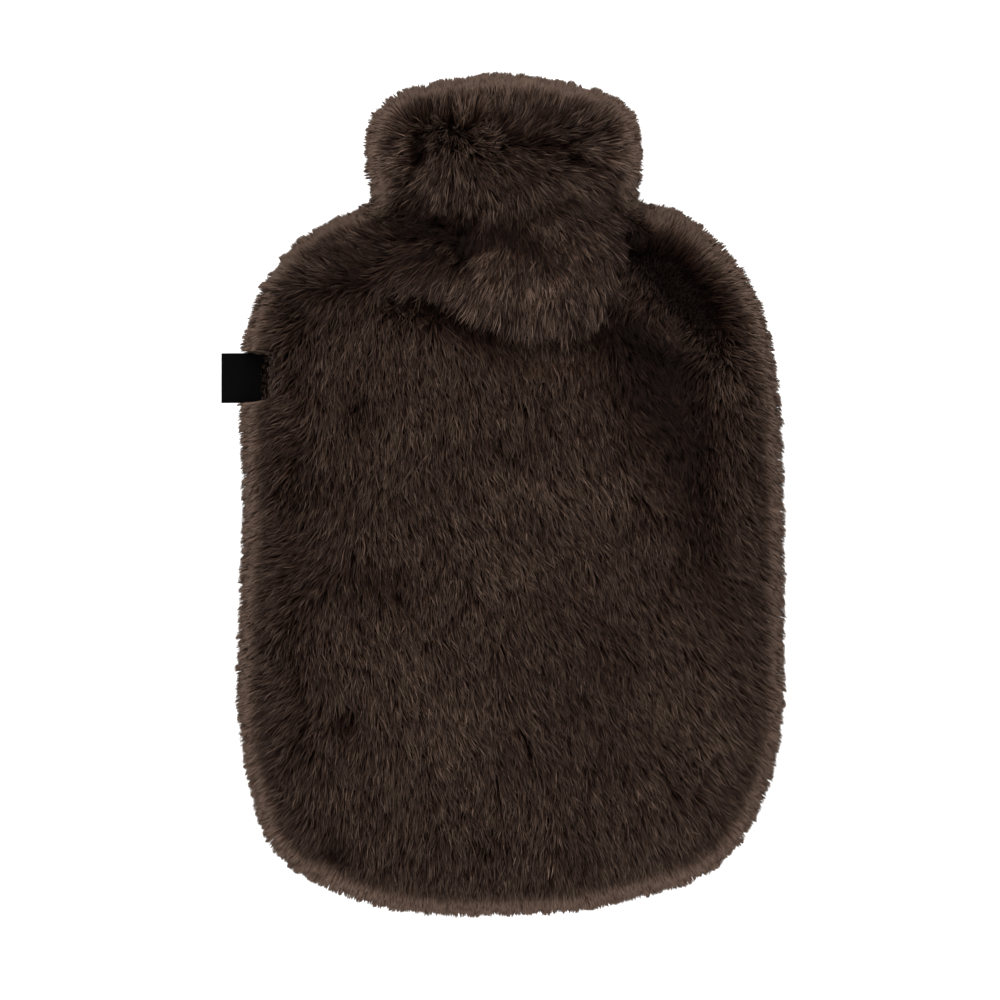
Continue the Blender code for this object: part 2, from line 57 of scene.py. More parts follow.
SEAM_Z = 37.0
RIM_BAND = 15.0  # the pile is longer and more upright within about this distance of the outline
HOLLOW_FREE = 7.0  # hollows fade out within about this distance of the outline
BOTTOM_POLE = (-21.0, -190.0)
TOP_POLE = (-7.0, 189.0)
SECTIONS = np.array(
    [
        # y,      left,   right, front, back, roll
        (-188.0, -49.0, 28.0, 41.0, 38.5, 42.0),
        (-184.7, -64.5, 47.0, 41.0, 38.5, 42.0),
        (-180.0, -78.5, 64.0, 41.2, 38.5, 42.0),
        (-173.9, -91.5, 82.8, 41.5, 38.6, 42.0),
        (-166.0, -102.8, 94.6, 42.0, 38.8, 42.0),
        (-157.0, -110.8, 103.4, 42.5, 39.0, 42.0),
        (-145.0, -115.5, 110.3, 43.0, 39.2, 42.0),
        (-128.0, -119.8, 116.8, 43.5, 39.5, 42.0),
        (-105.0, -123.6, 121.8, 44.0, 39.5, 42.0),
        (-60.0, -124.0, 122.8, 44.5, 39.5, 42.0),
        (-5.0, -121.7, 122.6, 44.5, 39.5, 42.0),
        (36.0, -123.2, 121.4, 43.5, 39.5, 42.0),
        (66.0, -122.0, 117.8, 41.5, 39.0, 40.0),
        (87.0, -116.2, 111.7, 39.0, 38.5, 38.0),
        (103.0, -106.4, 102.4, 36.0, 37.5, 36.0),
        (114.0, -96.2, 92.8, 33.0, 36.0, 34.0),
        (121.5, -85.0, 84.0, 31.0, 34.5, 32.0),
        (126.9, -74.6, 76.0, 30.0, 34.0, 30.0),
        (130.0, -67.0, 66.0, 30.0, 33.5, 30.0),
        (132.6, -63.8, 57.0, 32.0, 33.5, 30.0),
        (142.0, -66.0, 58.6, 35.5, 34.0, 31.0),
        (154.0, -67.2, 59.2, 37.0, 34.5, 32.0),
        (165.4, -66.2, 57.6, 36.5, 34.5, 32.0),
        (171.5, -62.8, 55.0, 36.0, 34.5, 32.0),
        (177.0, -57.0, 48.8, 35.0, 34.5, 32.0),
        (181.2, -50.0, 39.5, 34.5, 34.0, 32.0),
        (185.2, -35.5, 25.5, 34.0, 34.0, 32.0),
    ]
)
HEM = np.array(
    [
        # across, hem_y, band, raise
        (-1.00, 93.0, 9.0, 1.5),
        (-0.86, 90.0, 12.0, 2.5),
        (-0.66, 83.0, 15.0, 4.0),
        (-0.46, 92.5, 15.0, 5.0),
        (-0.30, 85.0, 17.0, 9.0),
        (-0.13, 75.0, 18.0, 10.5),
        (0.03, 66.0, 18.0, 11.0),
        (0.17, 64.5, 18.0, 11.0),
        (0.28, 66.0, 18.0, 11.0),
        (0.35, 71.0, 16.0, 11.0),
        (0.42, 90.0, 12.0, 10.0),
        (0.50, 108.0, 9.0, 6.0),
        (0.58, 117.0, 8.0, 2.0),
        (0.75, 120.0, 8.0, 0.3),
        (1.00, 120.0, 8.0, 0.0),
    ]
)
# Way the pile lies, seen from the front: x, y, and its angle in degrees, 0 to the right and 90 to the head
FRONT_COMB = np.array(
    [
        (-113, 74, -165), (-113, 33, -152), (-114, -30, -150), (-114, -93, -148), (-108, -138, -138),
        (-91, -166, -120), (-64, -181, -105), (-28, -186, -94), (12, -186, -88), (48, -179, -76),
        (80, -166, -58), (102, -140, -48), (115, -111, -48), (118, -57, -55), (118, -3, -58),
        (114, 38, -52), (108, 69, -38), (101, 91, -10), (91, 110, 30), (75, 120, 55), (62, 126, 70),
        (-103, 74, -140), (-103, 20, -138), (-103, -48, -138), (-103, -111, -132), (-94, 69, -92),
        (-94, 11, -88), (-94, -57, -86), (-93, -120, -92), (-75, 42, -84), (-73, -66, -80),
        (-73, -138, -92), (-37, 42, -82), (-37, -30, -76), (-37, -102, -76), (-37, -160, -90),
        (0, 42, -80), (0, -30, -70), (3, -93, -68), (3, -160, -86), (39, 56, -74), (39, -3, -68),
        (39, -70, -64), (39, -138, -72), (62, 69, -56), (67, 38, -60), (80, 67, -124), (90, 71, -132),
        (87, 44, -112), (101, 42, -96), (92, 15, -84), (75, -21, -68), (98, -48, -60), (80, -93, -62),
        (84, -138, -58), (72, 98, -120), (87, 85, -128), (57, 92, -110),
    ],
    float,
)
HOOD_COMB = np.array(
    [
        # left lobe of the head
        (-57, 157, 178), (-57, 148, 188), (-57, 137, 206), (-60, 130, 225), (-53, 168, 160), (-48, 176, 128),
        (-48, 155, 182), (-48, 146, 196), (-47, 164, 165), (-63, 150, 184), (-62, 164, 170),
        # right of the lobe, then the ridges down from it
        (-44, 158, 176), (-44, 151, 184), (-38.5, 163, -95), (-38.5, 157, -94), (-38.5, 150, -102),
        (-40, 145, -114), (-43, 139, -118), (-48, 130, -124), (-33, 162, -106), (-32, 155, -108),
        (-32, 147, -112),
        (-26, 161, -74), (-25, 154, -68), (-25, 147, -84), (-18, 160, -22), (-14, 153, -12), (-15, 147, -52),
        (-39, 170, 118), (-33, 174, 94), (-26, 171, 90), (-30, 182, 92), (-30, 137, -114),
        (-24, 132, -112), (-15, 130, -100), (-17, 143, -75), (-8, 143, -58), (3, 148, -34), (1, 137, -68),
        (10, 143, -36), (26, 142, -34), (39, 142, -46), (3, 125, -84), (10, 122, -72), (26, 119, -62),
        (42, 118, -60), (52, 122, -56), (51, 130, -56), (21, 130, -52), (35, 130, -50), (21, 151, 4),
        (37, 153, -10), (51, 152, -24), (56, 140, -40), (-14, 120, -94),
        # top and right of the head
        (21, 160, 24), (8, 161, 34), (39, 164, 24), (51, 166, 26), (-1, 173, 82), (10, 177, 74),
        (21, 176, 64), (30, 173, 54), (42, 170, 38), (-19, 184, 90), (-6, 187, 90), (12, 186, 84),
        (30, 182, 66), (-10, 166, 70), (-22, 168, 88), (-42, 182, 108),
        # neck, flap and shoulders
        (-30, 125, -140), (-12, 100, -108), (6, 94, -92), (24, 92, -86), (38, 96, -76), (45, 104, -68),
        (41, 84, -86), (38, 74, -90), (3, 71, -92), (27, 69, -86), (-27, 87, -118), (-29, 106, -138),
        (-45, 101, -145), (-46, 121, 200),
        (-52, 116, 178), (-66, 126, 128), (-82, 122, 132), (-97, 110, 148), (-110, 95, 172), (-73, 110, 155),
        (-91, 98, 160), (-63, 98, 165), (-78, 97, 162), (-51, 88, -112), (-63, 88, -100), (-78, 86, -105),
        (-92, 87, -130), (67, 125, 66), (84, 118, 46), (54, 114, -58),
    ],
    float,
)
BACK_COMB = np.array(
    [
        (-112, 60, -150), (-112, -60, -145), (-104, -140, -130), (-60, -180, -105), (0, -186, -90),
        (60, -178, -70), (100, -140, -50), (112, -60, -40), (110, 60, -30), (90, 108, 35),
        (60, 124, 60), (-92, 108, 145), (-66, 124, 125), (-58, 150, 185), (-40, 182, 115),
        (0, 186, 90), (34, 178, 62), (52, 150, -5), (0, 160, -85), (0, 60, -88), (0, -60, -92),
        (0, -130, -88), (-70, 0, -98), (70, 0, -82), (-70, 80, -100), (70, 80, -80),
    ],
    float,
)


def through(at: np.ndarray, places: np.ndarray, values: np.ndarray) -> np.ndarray:
    """Smooth curve through points: in each interval a cubic that keeps both ends' slopes.

    Args:
        at: Places to read.
        places: Rising places of the points.
        values: Values at those places.

    Returns:
        The curve's values.
    """
    slopes = np.gradient(values, places)
    at = np.clip(at, places[0], places[-1])
    low = np.clip(np.searchsorted(places, at) - 1, 0, len(places) - 2)
    run = places[low + 1] - places[low]
    u = (at - places[low]) / run
    start = (1 + 2 * u) * (1 - u) ** 2 * values[low] + u * (1 - u) ** 2 * run * slopes[low]
    end = u**2 * (3 - 2 * u) * values[low + 1] - u**2 * (1 - u) * run * slopes[low + 1]
    return start + end


def ease(u: np.ndarray) -> np.ndarray:
    """Soft step: 3u² - 2u³ with u held between 0 and 1."""
    u = np.clip(u, 0.0, 1.0)
    return u * u * (3 - 2 * u)


def rolled(u: np.ndarray, power: float = 2.3) -> np.ndarray:
    """Rounded edge: (1 - (1 - u)^p)^(1/p), upright at u = 0 and level at u = 1."""
    return (1 - (1 - np.clip(u, 0.0, 1.0)) ** power) ** (1 / power)


def unit(v: np.ndarray) -> np.ndarray:
    """Each vector along the last axis over its own length."""
    return v / np.maximum(np.linalg.norm(v, axis=-1, keepdims=True), 1e-9)


def lie_in_surface(flow: np.ndarray, normal: np.ndarray) -> np.ndarray:
    """The part of a direction that lies in the surface: flow - normal·(flow · normal)."""
    return flow - normal * (flow * normal).sum(axis=-1, keepdims=True)


@dataclass(frozen=True)
class Hollow:
    """A parting or hollow in the pile: a path of x, y and depth, with its half width."""

    half_width: float
    path: tuple[Triple, ...]

    def depth(self, here: np.ndarray) -> np.ndarray:
        """Depth at each point: the path's own depth there times exp(-(distance / half width)²).

        Args:
            here: Points, whose x and y are read.

        Returns:
            Depths, in the unit of the path's own.
        """
        points = np.array(self.path, float)
        depths = np.zeros(here.shape[:-1])
        for start, end in zip(points[:-1], points[1:]):
            step, to = end[:2] - start[:2], here[..., :2] - start[:2]
            along = np.clip((to @ step) / (step @ step), 0.0, 1.0)
            away = np.linalg.norm(to - along[..., None] * step, axis=-1)
            deep = start[2] + along * (end[2] - start[2])
            depths = np.maximum(depths, deep * np.exp(-((away / self.half_width) ** 2)))
        return depths


def hollows(*rows: tuple) -> tuple[Hollow, ...]:
    """Hollows from rows of half width and then each point of the path."""
    return tuple(Hollow(half_width, tuple(path)) for half_width, *path in rows)


# Hollows and partings sunk into the pile; at_tips also paints shade into them, 0.05 darker in tone for each
# millimetre
HOLLOWS = hollows(
    # right shoulder, beside the flap, right body parting, left rim parting
    (12.5, (54, 121, 5), (64, 108, 10), (72, 98, 13), (84, 84, 12), (92, 68, 4), (100, 50, 1)),
    (7.0, (49, 68, 4), (57, 66, 4), (67, 57, 3), (65, 40, 1)),
    (7.0, (78, 49, 1), (85, 14, 3), (85, -34, 1)),
    (7.0, (-96, 78, 2), (-99, 20, 3), (-99, -60, 3), (-95, -118, 1)),
    # neck crease and its pit
    (7.0, (-68, 126, 3), (-55, 123, 5), (-39, 117.5, 6.5), (-26, 114, 8)),
    (5.6, (-24, 114, 13), (-22, 106, 13)),
    # crease of the head's left lobe, head clefts
    (4.2, (-43, 164, 2), (-43, 157, 9), (-43, 149, 10), (-46, 141, 5), (-52, 130, 3)),
    (4.0, (-1, 157, 3), (15, 154, 3.5), (26, 159, 4), (44, 161, 2)),
    (3.5, (11, 152, 3), (26, 148, 4), (33, 146, 4), (43, 142, 3)),
    (3.5, (-26, 167, 1.5), (-4, 168, 2.5), (12, 170, 3), (26, 167, 3)),
    # small pits of the body
    (4.0, (-69, 34, 4), (-66, 28, 2)),
    (3.5, (-48, -48, 5), (-46, -52, 3)),
    (4.5, (-75, -102, 5), (-74, -108, 5)),
    (5.0, (-80, -164, 6), (-84, -170, 5)),
    (3.5, (-14, -159, 4), (-10, -161, 4)),
)
# Where the head's pile is tangled: depths are shares by which it lies less clearly one way
TANGLE = Hollow(9.0, ((-37, 163, 0.42), (-24, 160, 0.52), (-12, 151, 0.40)))
# Dents in the outline itself
NOTCHES = hollows(
    (5.0, (-44.5, 196, 2.8), (-44.5, 178, 1.6)),
    (3.4, (-39.3, 196, 5.0), (-39.3, 178, 3.0)),
)


def deepest(table: tuple[Hollow, ...], here: np.ndarray) -> np.ndarray:
    """Depth of the deepest hollow at each point in plan."""
    return np.max([hollow.depth(here) for hollow in table], axis=0)


def sunk(here: np.ndarray, away: np.ndarray) -> np.ndarray:
    """Depth of the pile's hollows, less near the outline: depth·(1 - exp(-(away / 7)²))."""
    return deepest(HOLLOWS, here) * (1 - np.exp(-((away / HOLLOW_FREE) ** 2)))


def near_rim(away: np.ndarray) -> np.ndarray:
    """Share from 1 at the outline down to 0: exp(-(away / 15)²)."""
    return np.exp(-((away / RIM_BAND) ** 2))


@dataclass(frozen=True)
class PaintedShading:
    """Painted shade and painted light on a panel's pile: depths are steps in tone."""

    darker: tuple[Hollow, ...]
    lighter: tuple[Hollow, ...]

    def tone(self, here: np.ndarray) -> np.ndarray:
        """Step in tone at each point in plan: painted light less painted shade."""
        return deepest(self.lighter, here) - deepest(self.darker, here)


FRONT_PAINTED_SHADING = PaintedShading(
    darker=hollows(
        # painted shade in the hollow of the right shoulder, then along the parting down from it
        (15.0, (54, 124, 0.26), (58, 112, 0.32), (70, 100, 0.40), (82, 86, 0.32), (88, 74, 0.12)),
        (18.0, (49, 70, 0.32), (61, 46, 0.44), (75, 15, 0.36)),
        (6.5, (50, 72, 0.50), (57, 65, 0.48)),
        (8.0, (60, 64, 0.52), (73, 54, 0.54), (80, 36, 0.42)),
        (10.0, (54, 128, 0.32), (70, 119, 0.28), (86, 104, 0.12)),
        (13.0, (75, 15, 0.36), (87, -28, 0.24), (92, -60, 0.06)),
        # painted shade under the flap's sloping edge, then across the left shoulder
        (7.0, (-52, 90, 0.24), (-33, 76, 0.30), (-15, 66, 0.30), (-3, 61, 0.20), (6, 58, 0.02)),
        (11.0, (-100, 84, 0.14), (-80, 87, 0.24), (-60, 90, 0.24)),
        # soft painted shade in places of the body
        (7.0, (-71, 38, 0.12), (-69, 33, 0.12)),
        (8.0, (-20, 18, 0.09), (10, 19, 0.10)),
        (9.0, (-89, 4, 0.11), (-74, -5, 0.11)),
        (9.0, (-84, -42, 0.13), (-52, -44, 0.15)),
        (6.0, (-76, -99, 0.08), (-74, -108, 0.08)),
        (5.0, (-98, -105, 0.12), (-98, -122, 0.12)),
        (14.0, (30, -45, 0.07), (50, -75, 0.08)),
        (12.0, (24, -100, 0.07), (40, -120, 0.07)),
        (8.0, (-82, -160, 0.12), (-66, -164, 0.07)),
    ),
    lighter=hollows(
        # painted light in soft lighter places of the body, just under the flap's middle, and along the lower
        # rim
        (12.0, (20, 2, 0.09), (50, -4, 0.08)),
        (8.0, (0, -36, 0.06), (44, -38, 0.08)),
        (9.0, (-42, 34, 0.08), (-22, 30, 0.07)),
        (7.0, (-72, -24, 0.08), (-48, -26, 0.08)),
        (18.0, (-50, -80, 0.09), (-24, -105, 0.10), (-36, -128, 0.08)),
        (16.0, (70, -84, 0.08), (88, -112, 0.08)),
        (9.0, (-8, -10, 0.06), (-12, -45, 0.06)),
        (8.0, (0, 54, 0.06), (12, 58, 0.15), (34, 60, 0.13)),
        (7.0, (82, 70, 0.08), (94, 60, 0.12), (99, 42, 0.10)),
        (9.0, (-80, -176, 0.06), (-20, -190, 0.08), (40, -184, 0.08), (84, -164, 0.06)),
    ),
)
HOOD_PAINTED_SHADING = PaintedShading(
    darker=hollows(
        # painted shade in the fold of the neck, in its pit, over the flap's left part and at the shoulders
        (7.5, (-18, 113, 0.40), (-3, 111, 0.40), (10, 107, 0.34), (17, 98, 0.16)),
        (4.2, (-24, 114.5, 1.0), (-22.5, 110, 1.0), (-21.5, 104, 0.5)),
        (13.0, (-74, 101, 0.17), (-50, 101, 0.27), (-38, 106, 0.34)),
        (8.0, (-58, 117, 0.22), (-42, 114, 0.36), (-28, 110, 0.36)),
        (5.0, (-60, 95, 0.10), (-46, 89, 0.18), (-34, 81, 0.14)),
        (10.0, (-100, 88, 0.14), (-80, 91, 0.24), (-62, 94, 0.24)),
        (6.5, (59, 124, 0.34), (74, 115, 0.32), (88, 102, 0.10)),
        # painted shade in the recess by the head's left lobe, at the roots of its upper tufts, and in small
        # openings
        (4.2, (-43, 158, 0.40), (-43, 149, 0.50), (-46, 142, 0.18)),
        (3.0, (-26, 168, 0.04), (-4, 169, 0.06), (10, 171, 0.10), (26, 168, 0.10)),
        (3.0, (-21, 159, 0.20), (-18, 157, 0.20)),
        (3.0, (-16, 145, 0.20), (-13, 143, 0.18)),
        # painted shade in the openings between the head's locks, which spread from its middle
        (2.6, (-3, 161, 0.16), (14, 168, 0.18), (32, 175, 0.08)),
        (2.6, (2, 155, 0.16), (24, 158, 0.20), (44, 161, 0.14)),
        (2.6, (6, 150, 0.16), (26, 148, 0.24), (44, 144, 0.20)),
        (2.6, (1, 148, 0.16), (14, 139, 0.18), (26, 128, 0.08)),
        (2.4, (-8, 148, 0.16), (1, 133, 0.08)),
        (2.4, (-26, 152, 0.18), (-33, 137, 0.10)),
        (2.2, (-28, 168, 0.14), (-27, 179, 0.10)),
        (2.2, (-15, 168, 0.14), (-14.5, 180, 0.10)),
        (2.2, (-1, 169, 0.18), (1, 179, 0.10)),
        (2.2, (-44, 172, 0.14), (-50, 176, 0.08)),
    ),
    lighter=hollows(
        # painted light on the flap's middle and on the lit parts of the head
        (14.0, (-10, 94, 0.12), (6, 88, 0.14), (18, 82, 0.09)),
        (9.0, (-56, 162, 0.10), (-56, 142, 0.09)),
        (9.0, (20, 172, 0.10), (40, 168, 0.12), (48, 150, 0.11)),
        (8.0, (-30, 176, 0.10), (-20, 178, 0.12), (20, 176, 0.12), (40, 168, 0.06)),
        (6.0, (-36, 141, 0.08), (-22, 139, 0.06)),
    ),
)


@dataclass
class CoverForm:
    """The cover's pillow form: sections across it, rolled over at the rim."""

    side_points: int = 420
    across_power: float = 2.6
    crown_fall: float = 0.10
    rim_power: float = 2.3

    def __post_init__(self) -> None:
        """Works out both sides of the outline."""
        self.y, self.left, self.right, self.front, self.back, self.roll = SECTIONS.T
        self.sides = [self.side(self.left, self.right), self.side(self.right, self.left)]
        self.outline = np.vstack([self.sides[0], self.sides[1][::-1]])

    def side(self, own: np.ndarray, other: np.ndarray) -> np.ndarray:
        """Dense points up one side, through its own sections and level at both poles.

        Args:
            own: x of this side at each section.
            other: x of the other side, whose first and last carry the curve past the poles.

        Returns:
            Points x, y, rising.
        """
        x = np.concatenate([[other[0], BOTTOM_POLE[0]], own, [TOP_POLE[0], other[-1]]])
        y = np.concatenate([[self.y[0], BOTTOM_POLE[1]], self.y, [TOP_POLE[1], self.y[-1]]])
        chord = np.concatenate([[0.0], np.cumsum(np.hypot(np.diff(x), np.diff(y)))])
        at = np.linspace(chord[1], chord[-2], self.side_points)
        rising = np.clip(through(at, chord, y), BOTTOM_POLE[1], TOP_POLE[1])
        rising = np.maximum.accumulate(rising) + np.linspace(0.0, 1e-3, self.side_points)
        return np.column_stack([through(at, chord, x), rising])

    def columns(self, count: int) -> np.ndarray:
        """Places from -1 to 1 across a section, sign(cos a)·|cos a|^(2/p), close at the rims."""
        turn = np.cos(np.linspace(np.pi, 0.0, count))
        return np.sign(turn) * np.abs(turn) ** (2 / self.across_power)

    def rows(self, count: int) -> np.ndarray:
        """Heights of sections evenly spaced along the outline, both poles included.

        Args:
            count: How many sections.

        Returns:
            Their heights, rising.
        """
        y = np.unique(np.concatenate([side[:, 1] for side in self.sides]))
        xs = [np.interp(y, side[:, 1], side[:, 0]) for side in self.sides]
        steps = [np.hypot(np.diff(x), np.diff(y)) for x in xs]
        run = np.concatenate([[0.0], np.cumsum(0.5 * (steps[0] + steps[1]))])
        return np.interp(np.linspace(0.0, run[-1], count), run, y)

    def nearest_rim(self, here: np.ndarray) -> tuple[np.ndarray, np.ndarray]:
        """Distance from each point in plan to the outline, and the way out across it there.

        Args:
            here: A grid of points, whose x and y are read.

        Returns:
            Distances in millimetres, and unit vectors x, y square to the nearest step of the outline.
        """
        start = self.outline
        step = np.roll(start, -1, axis=0) - start
        length = np.maximum(np.hypot(step[:, 0], step[:, 1]), 1e-6)
        out = np.column_stack([-step[:, 1], step[:, 0]]) / length[:, None]
        away, nearest = np.zeros(here.shape[:-1]), np.zeros(here.shape[:-1], int)
        for row, places in enumerate(here[..., None, :2]):
            to = places - start
            along = np.clip((to * step).sum(axis=-1) / length**2, 0.0, 1.0)
            gap = np.hypot(to[..., 0] - along * step[:, 0], to[..., 1] - along * step[:, 1])
            nearest[row] = gap.argmin(axis=-1)
            away[row] = gap.min(axis=-1)
        return away, out[nearest]

    def skin(
        self, y: np.ndarray, across: np.ndarray, front: bool
    ) -> tuple[np.ndarray, np.ndarray, np.ndarray, np.ndarray]:
        """The front or back face: z = seam ± crown·rolled(away / roll)·(1 - fall·across²).

        Args:
            y: Heights, one row of the grid each.
            across: Places across, from -1 at the left rim to 1 at the right.
            front: The front face, else the back one.

        Returns:
            Points, outward normals, distances to the outline, and the way out to it.
        """
        left = np.interp(y, self.sides[0][:, 1], self.sides[0][:, 0])
        right = np.interp(y, self.sides[1][:, 1], self.sides[1][:, 0])
        x = 0.5 * (left + right) + 0.5 * (right - left) * across
        crown = through(y, self.y, self.front if front else self.back)
        roll = through(y, self.y, self.roll)
        away, out = self.nearest_rim(np.stack([x, y], axis=-1))
        away = np.where(np.abs(across) > 1 - 1e-9, 0.0, away)
        depth = np.clip(away / roll, 0.0, 1.0)
        lift = crown * rolled(depth, self.rim_power) * (1 - self.crown_fall * across**2)
        side = 1.0 if front else -1.0
        level = ((1 - depth) ** (self.rim_power - 1) / roll)[..., None] * out
        upright = side * rolled(depth, self.rim_power) ** (self.rim_power - 1) / crown
        normal = unit(np.concatenate([level, upright[..., None]], axis=-1))
        return np.stack([x, y, SEAM_Z + side * lift], axis=-1), normal, away, out


FORM = CoverForm()


class Comb:
    """The way the pile lies in plan: nearby table rows, weighed by 1 / distance^power.

    The place is moved first, by waver·sin(0.52·y + 1.4·sin(0.31·x)) and its like, so that no whorl is
    a plain star.
    """

    def __init__(self, table: np.ndarray, power: float = 6.0, waver: float = 2.2) -> None:
        """Keeps what the flow is worked out from.

        Args:
            table: Rows of x, y and angle in degrees.
            power: How fast a row's say falls with distance.
            waver: How far a place is moved, in millimetres.
        """
        self.table = table
        self.power = power
        self.waver = waver

    def flow(self, here: np.ndarray) -> np.ndarray:
        """Direction in plan at each point.

        Args:
            here: Points, whose x and y are read.

        Returns:
            Vectors x, y, 0, which are 1 long, and down to 0.3 where rows disagree, as in a whorl.
        """
        x, y = here[..., 0], here[..., 1]
        angle = np.radians(self.table[:, 2])
        aside = self.waver * np.sin(0.52 * y + 1.4 * np.sin(0.31 * x))
        along = self.waver * np.sin(0.47 * x + 1.2 * np.sin(0.36 * y))
        x, y = x + aside, y + along
        away2 = (x[..., None] - self.table[:, 0]) ** 2 + (y[..., None] - self.table[:, 1]) ** 2
        weight = 1 / (away2 + 4.0) ** (self.power / 2)
        total = np.stack([(weight * np.cos(angle)).sum(-1), (weight * np.sin(angle)).sum(-1)], -1)
        agreed = np.linalg.norm(total, axis=-1, keepdims=True) / weight.sum(-1)[..., None]
        flow = unit(total) * (0.3 + 0.7 * ease((agreed - 0.25) / 0.5))
        return np.concatenate([flow, np.zeros((*x.shape, 1))], axis=-1)


@dataclass
class Ground:
    """What a panel's pile grows on, on a grid or for single strands: lengths in millimetres."""

    outer: np.ndarray  # surface at the tips
    normal: np.ndarray
    flow: np.ndarray  # way the pile lies, in the plane of the surface
    depth: np.ndarray  # from the tips down to the roots
    rise: np.ndarray  # from a strand's root up to its own tip
    run: np.ndarray  # how far a strand leans along the flow
    # tone holds painted shade and painted light; soft also marks the band of painted highlight along the rim
    tone: np.ndarray  # 0 dark to 1 light
    soft: np.ndarray  # 1 where the pile is even and blunt, as at the rim
    keep: np.ndarray  # share of the strands kept here

    @property
    def root(self) -> np.ndarray:
        """Points of the roots."""
        return self.outer - self.normal * self.depth[..., None]

    def stacked(self) -> np.ndarray:
        """All fields side by side along the last axis."""
        single = [self.depth, self.rise, self.run, self.tone, self.soft, self.keep]
        return np.concatenate([self.outer, self.normal, self.flow, np.stack(single, axis=-1)], axis=-1)

    def scatter(self, count: int, rng: np.random.Generator) -> "Ground":
        """Strand roots spread over the grid in proportion to area times keep.

        Args:
            count: How many strands.
            rng: Source of the random draws.

        Returns:
            The ground under each strand, in the order of the grid's rows.
        """
        values, root = self.stacked(), self.root
        across, along = root[:-1, 1:] - root[:-1, :-1], root[1:, :-1] - root[:-1, :-1]
        area = np.linalg.norm(np.cross(across, along), axis=-1) * self.keep[:-1, :-1]
        total = np.cumsum(area.ravel())
        at = (np.arange(count) + rng.random(count)) / count * total[-1]
        cell = np.clip(np.searchsorted(total, at), 0, area.size - 1)
        row, column = np.divmod(cell, area.shape[1])
        u, v = rng.random((2, count, 1))
        low = values[row, column] * (1 - u) + values[row, column + 1] * u
        high = values[row + 1, column] * (1 - u) + values[row + 1, column + 1] * u
        mixed = low * (1 - v) + high * v
        return Ground(mixed[:, :3], unit(mixed[:, 3:6]), mixed[:, 6:9], *mixed[:, 9:].T)


class Tufts:
    """Tufts of the pile: space in cells, with a jittered centre and a few random draws in each."""

    PRIMES = np.array([73856093, 19349663, 83492791])
    DRAWS = 4096

    def __init__(self, size: float, seed: int) -> None:
        """Keeps the cell size and its table of draws."""
        self.size = size
        self.table = np.random.default_rng(seed).random((self.DRAWS, 6))

    def of(self, points: np.ndarray) -> tuple[np.ndarray, np.ndarray]:
        """The nearest tuft of each point.

        Args:
            points: Strand roots.

        Returns:
            The way to the tuft's centre, and the tuft's three draws from 0 to 1.
        """
        cell = np.floor(points / self.size).astype(np.int64)
        best = np.full(len(points), np.inf)
        to_centre, draws = np.zeros_like(points), np.zeros_like(points)
        for step in itertools.product((-1, 0, 1), repeat=3):
            near = cell + np.array(step)
            picked = self.table[(near @ self.PRIMES) % self.DRAWS]
            to = (near + picked[:, :3]) * self.size - points
            gap = (to**2).sum(axis=1)
            closer = gap < best
            best[closer], to_centre[closer], draws[closer] = gap[closer], to[closer], picked[closer, 3:]
        return to_centre, draws


@dataclass(frozen=True)
class LabelRoom:
    """Room that the pile leaves for the side label: over it strands are pressed back, under it down."""

    low_y: float = 40.4
    high_y: float = 63.5
    fade: float = 0.8
    widening: float = 2.6
    widens_from: float = 38.5
    widens_over: float = 6.0
    end_x: float = -113.8
    ragged: float = 3.4
    slope: float = 0.4
    slopes_from: float = 38.0
    slopes_over: float = 12.0
    climb: float = 0.2
    over_z: float = 36.4
    under_z: float = 35.3
    under_x: float = -112.6

    def parted(self, points: np.ndarray, rng: np.random.Generator) -> np.ndarray:
        """Strand points outside the room.

        Over the label x is at least end_x + ragged·√(a random draw) + slope·(height over 38), and z
        rises by climb times the way that x moves. Under it z is at most under_z. Both fade out at
        the label's two edges, over a width that grows with the height.

        Args:
            points: Strand points (strand, step, 3).
            rng: Source of the random draws.

        Returns:
            The moved points.
        """
        x, y, z = np.moveaxis(points, -1, 0)
        height = np.clip(z - self.widens_from, 0.0, self.widens_over) / self.widens_over
        wider = self.widening * height * rng.random((len(points), 1))
        fade = self.fade + wider
        near = ease((y - self.low_y + 0.4 * wider) / fade) * ease((self.high_y + 0.4 * wider - y) / fade)
        limit = self.end_x + self.ragged * np.sqrt(rng.random((len(points), 1)))
        limit = limit + self.slope * np.clip(z - self.slopes_from, 0.0, self.slopes_over)
        over = z[:, :1] > self.over_z
        moved = np.where(over, near * np.maximum(limit - x, 0.0), 0.0)
        drop = np.where(~over & (x < self.under_x), near * np.maximum(z - self.under_z, 0.0), 0.0)
        return points + np.stack([moved, np.zeros_like(y), self.climb * moved - drop], axis=-1)


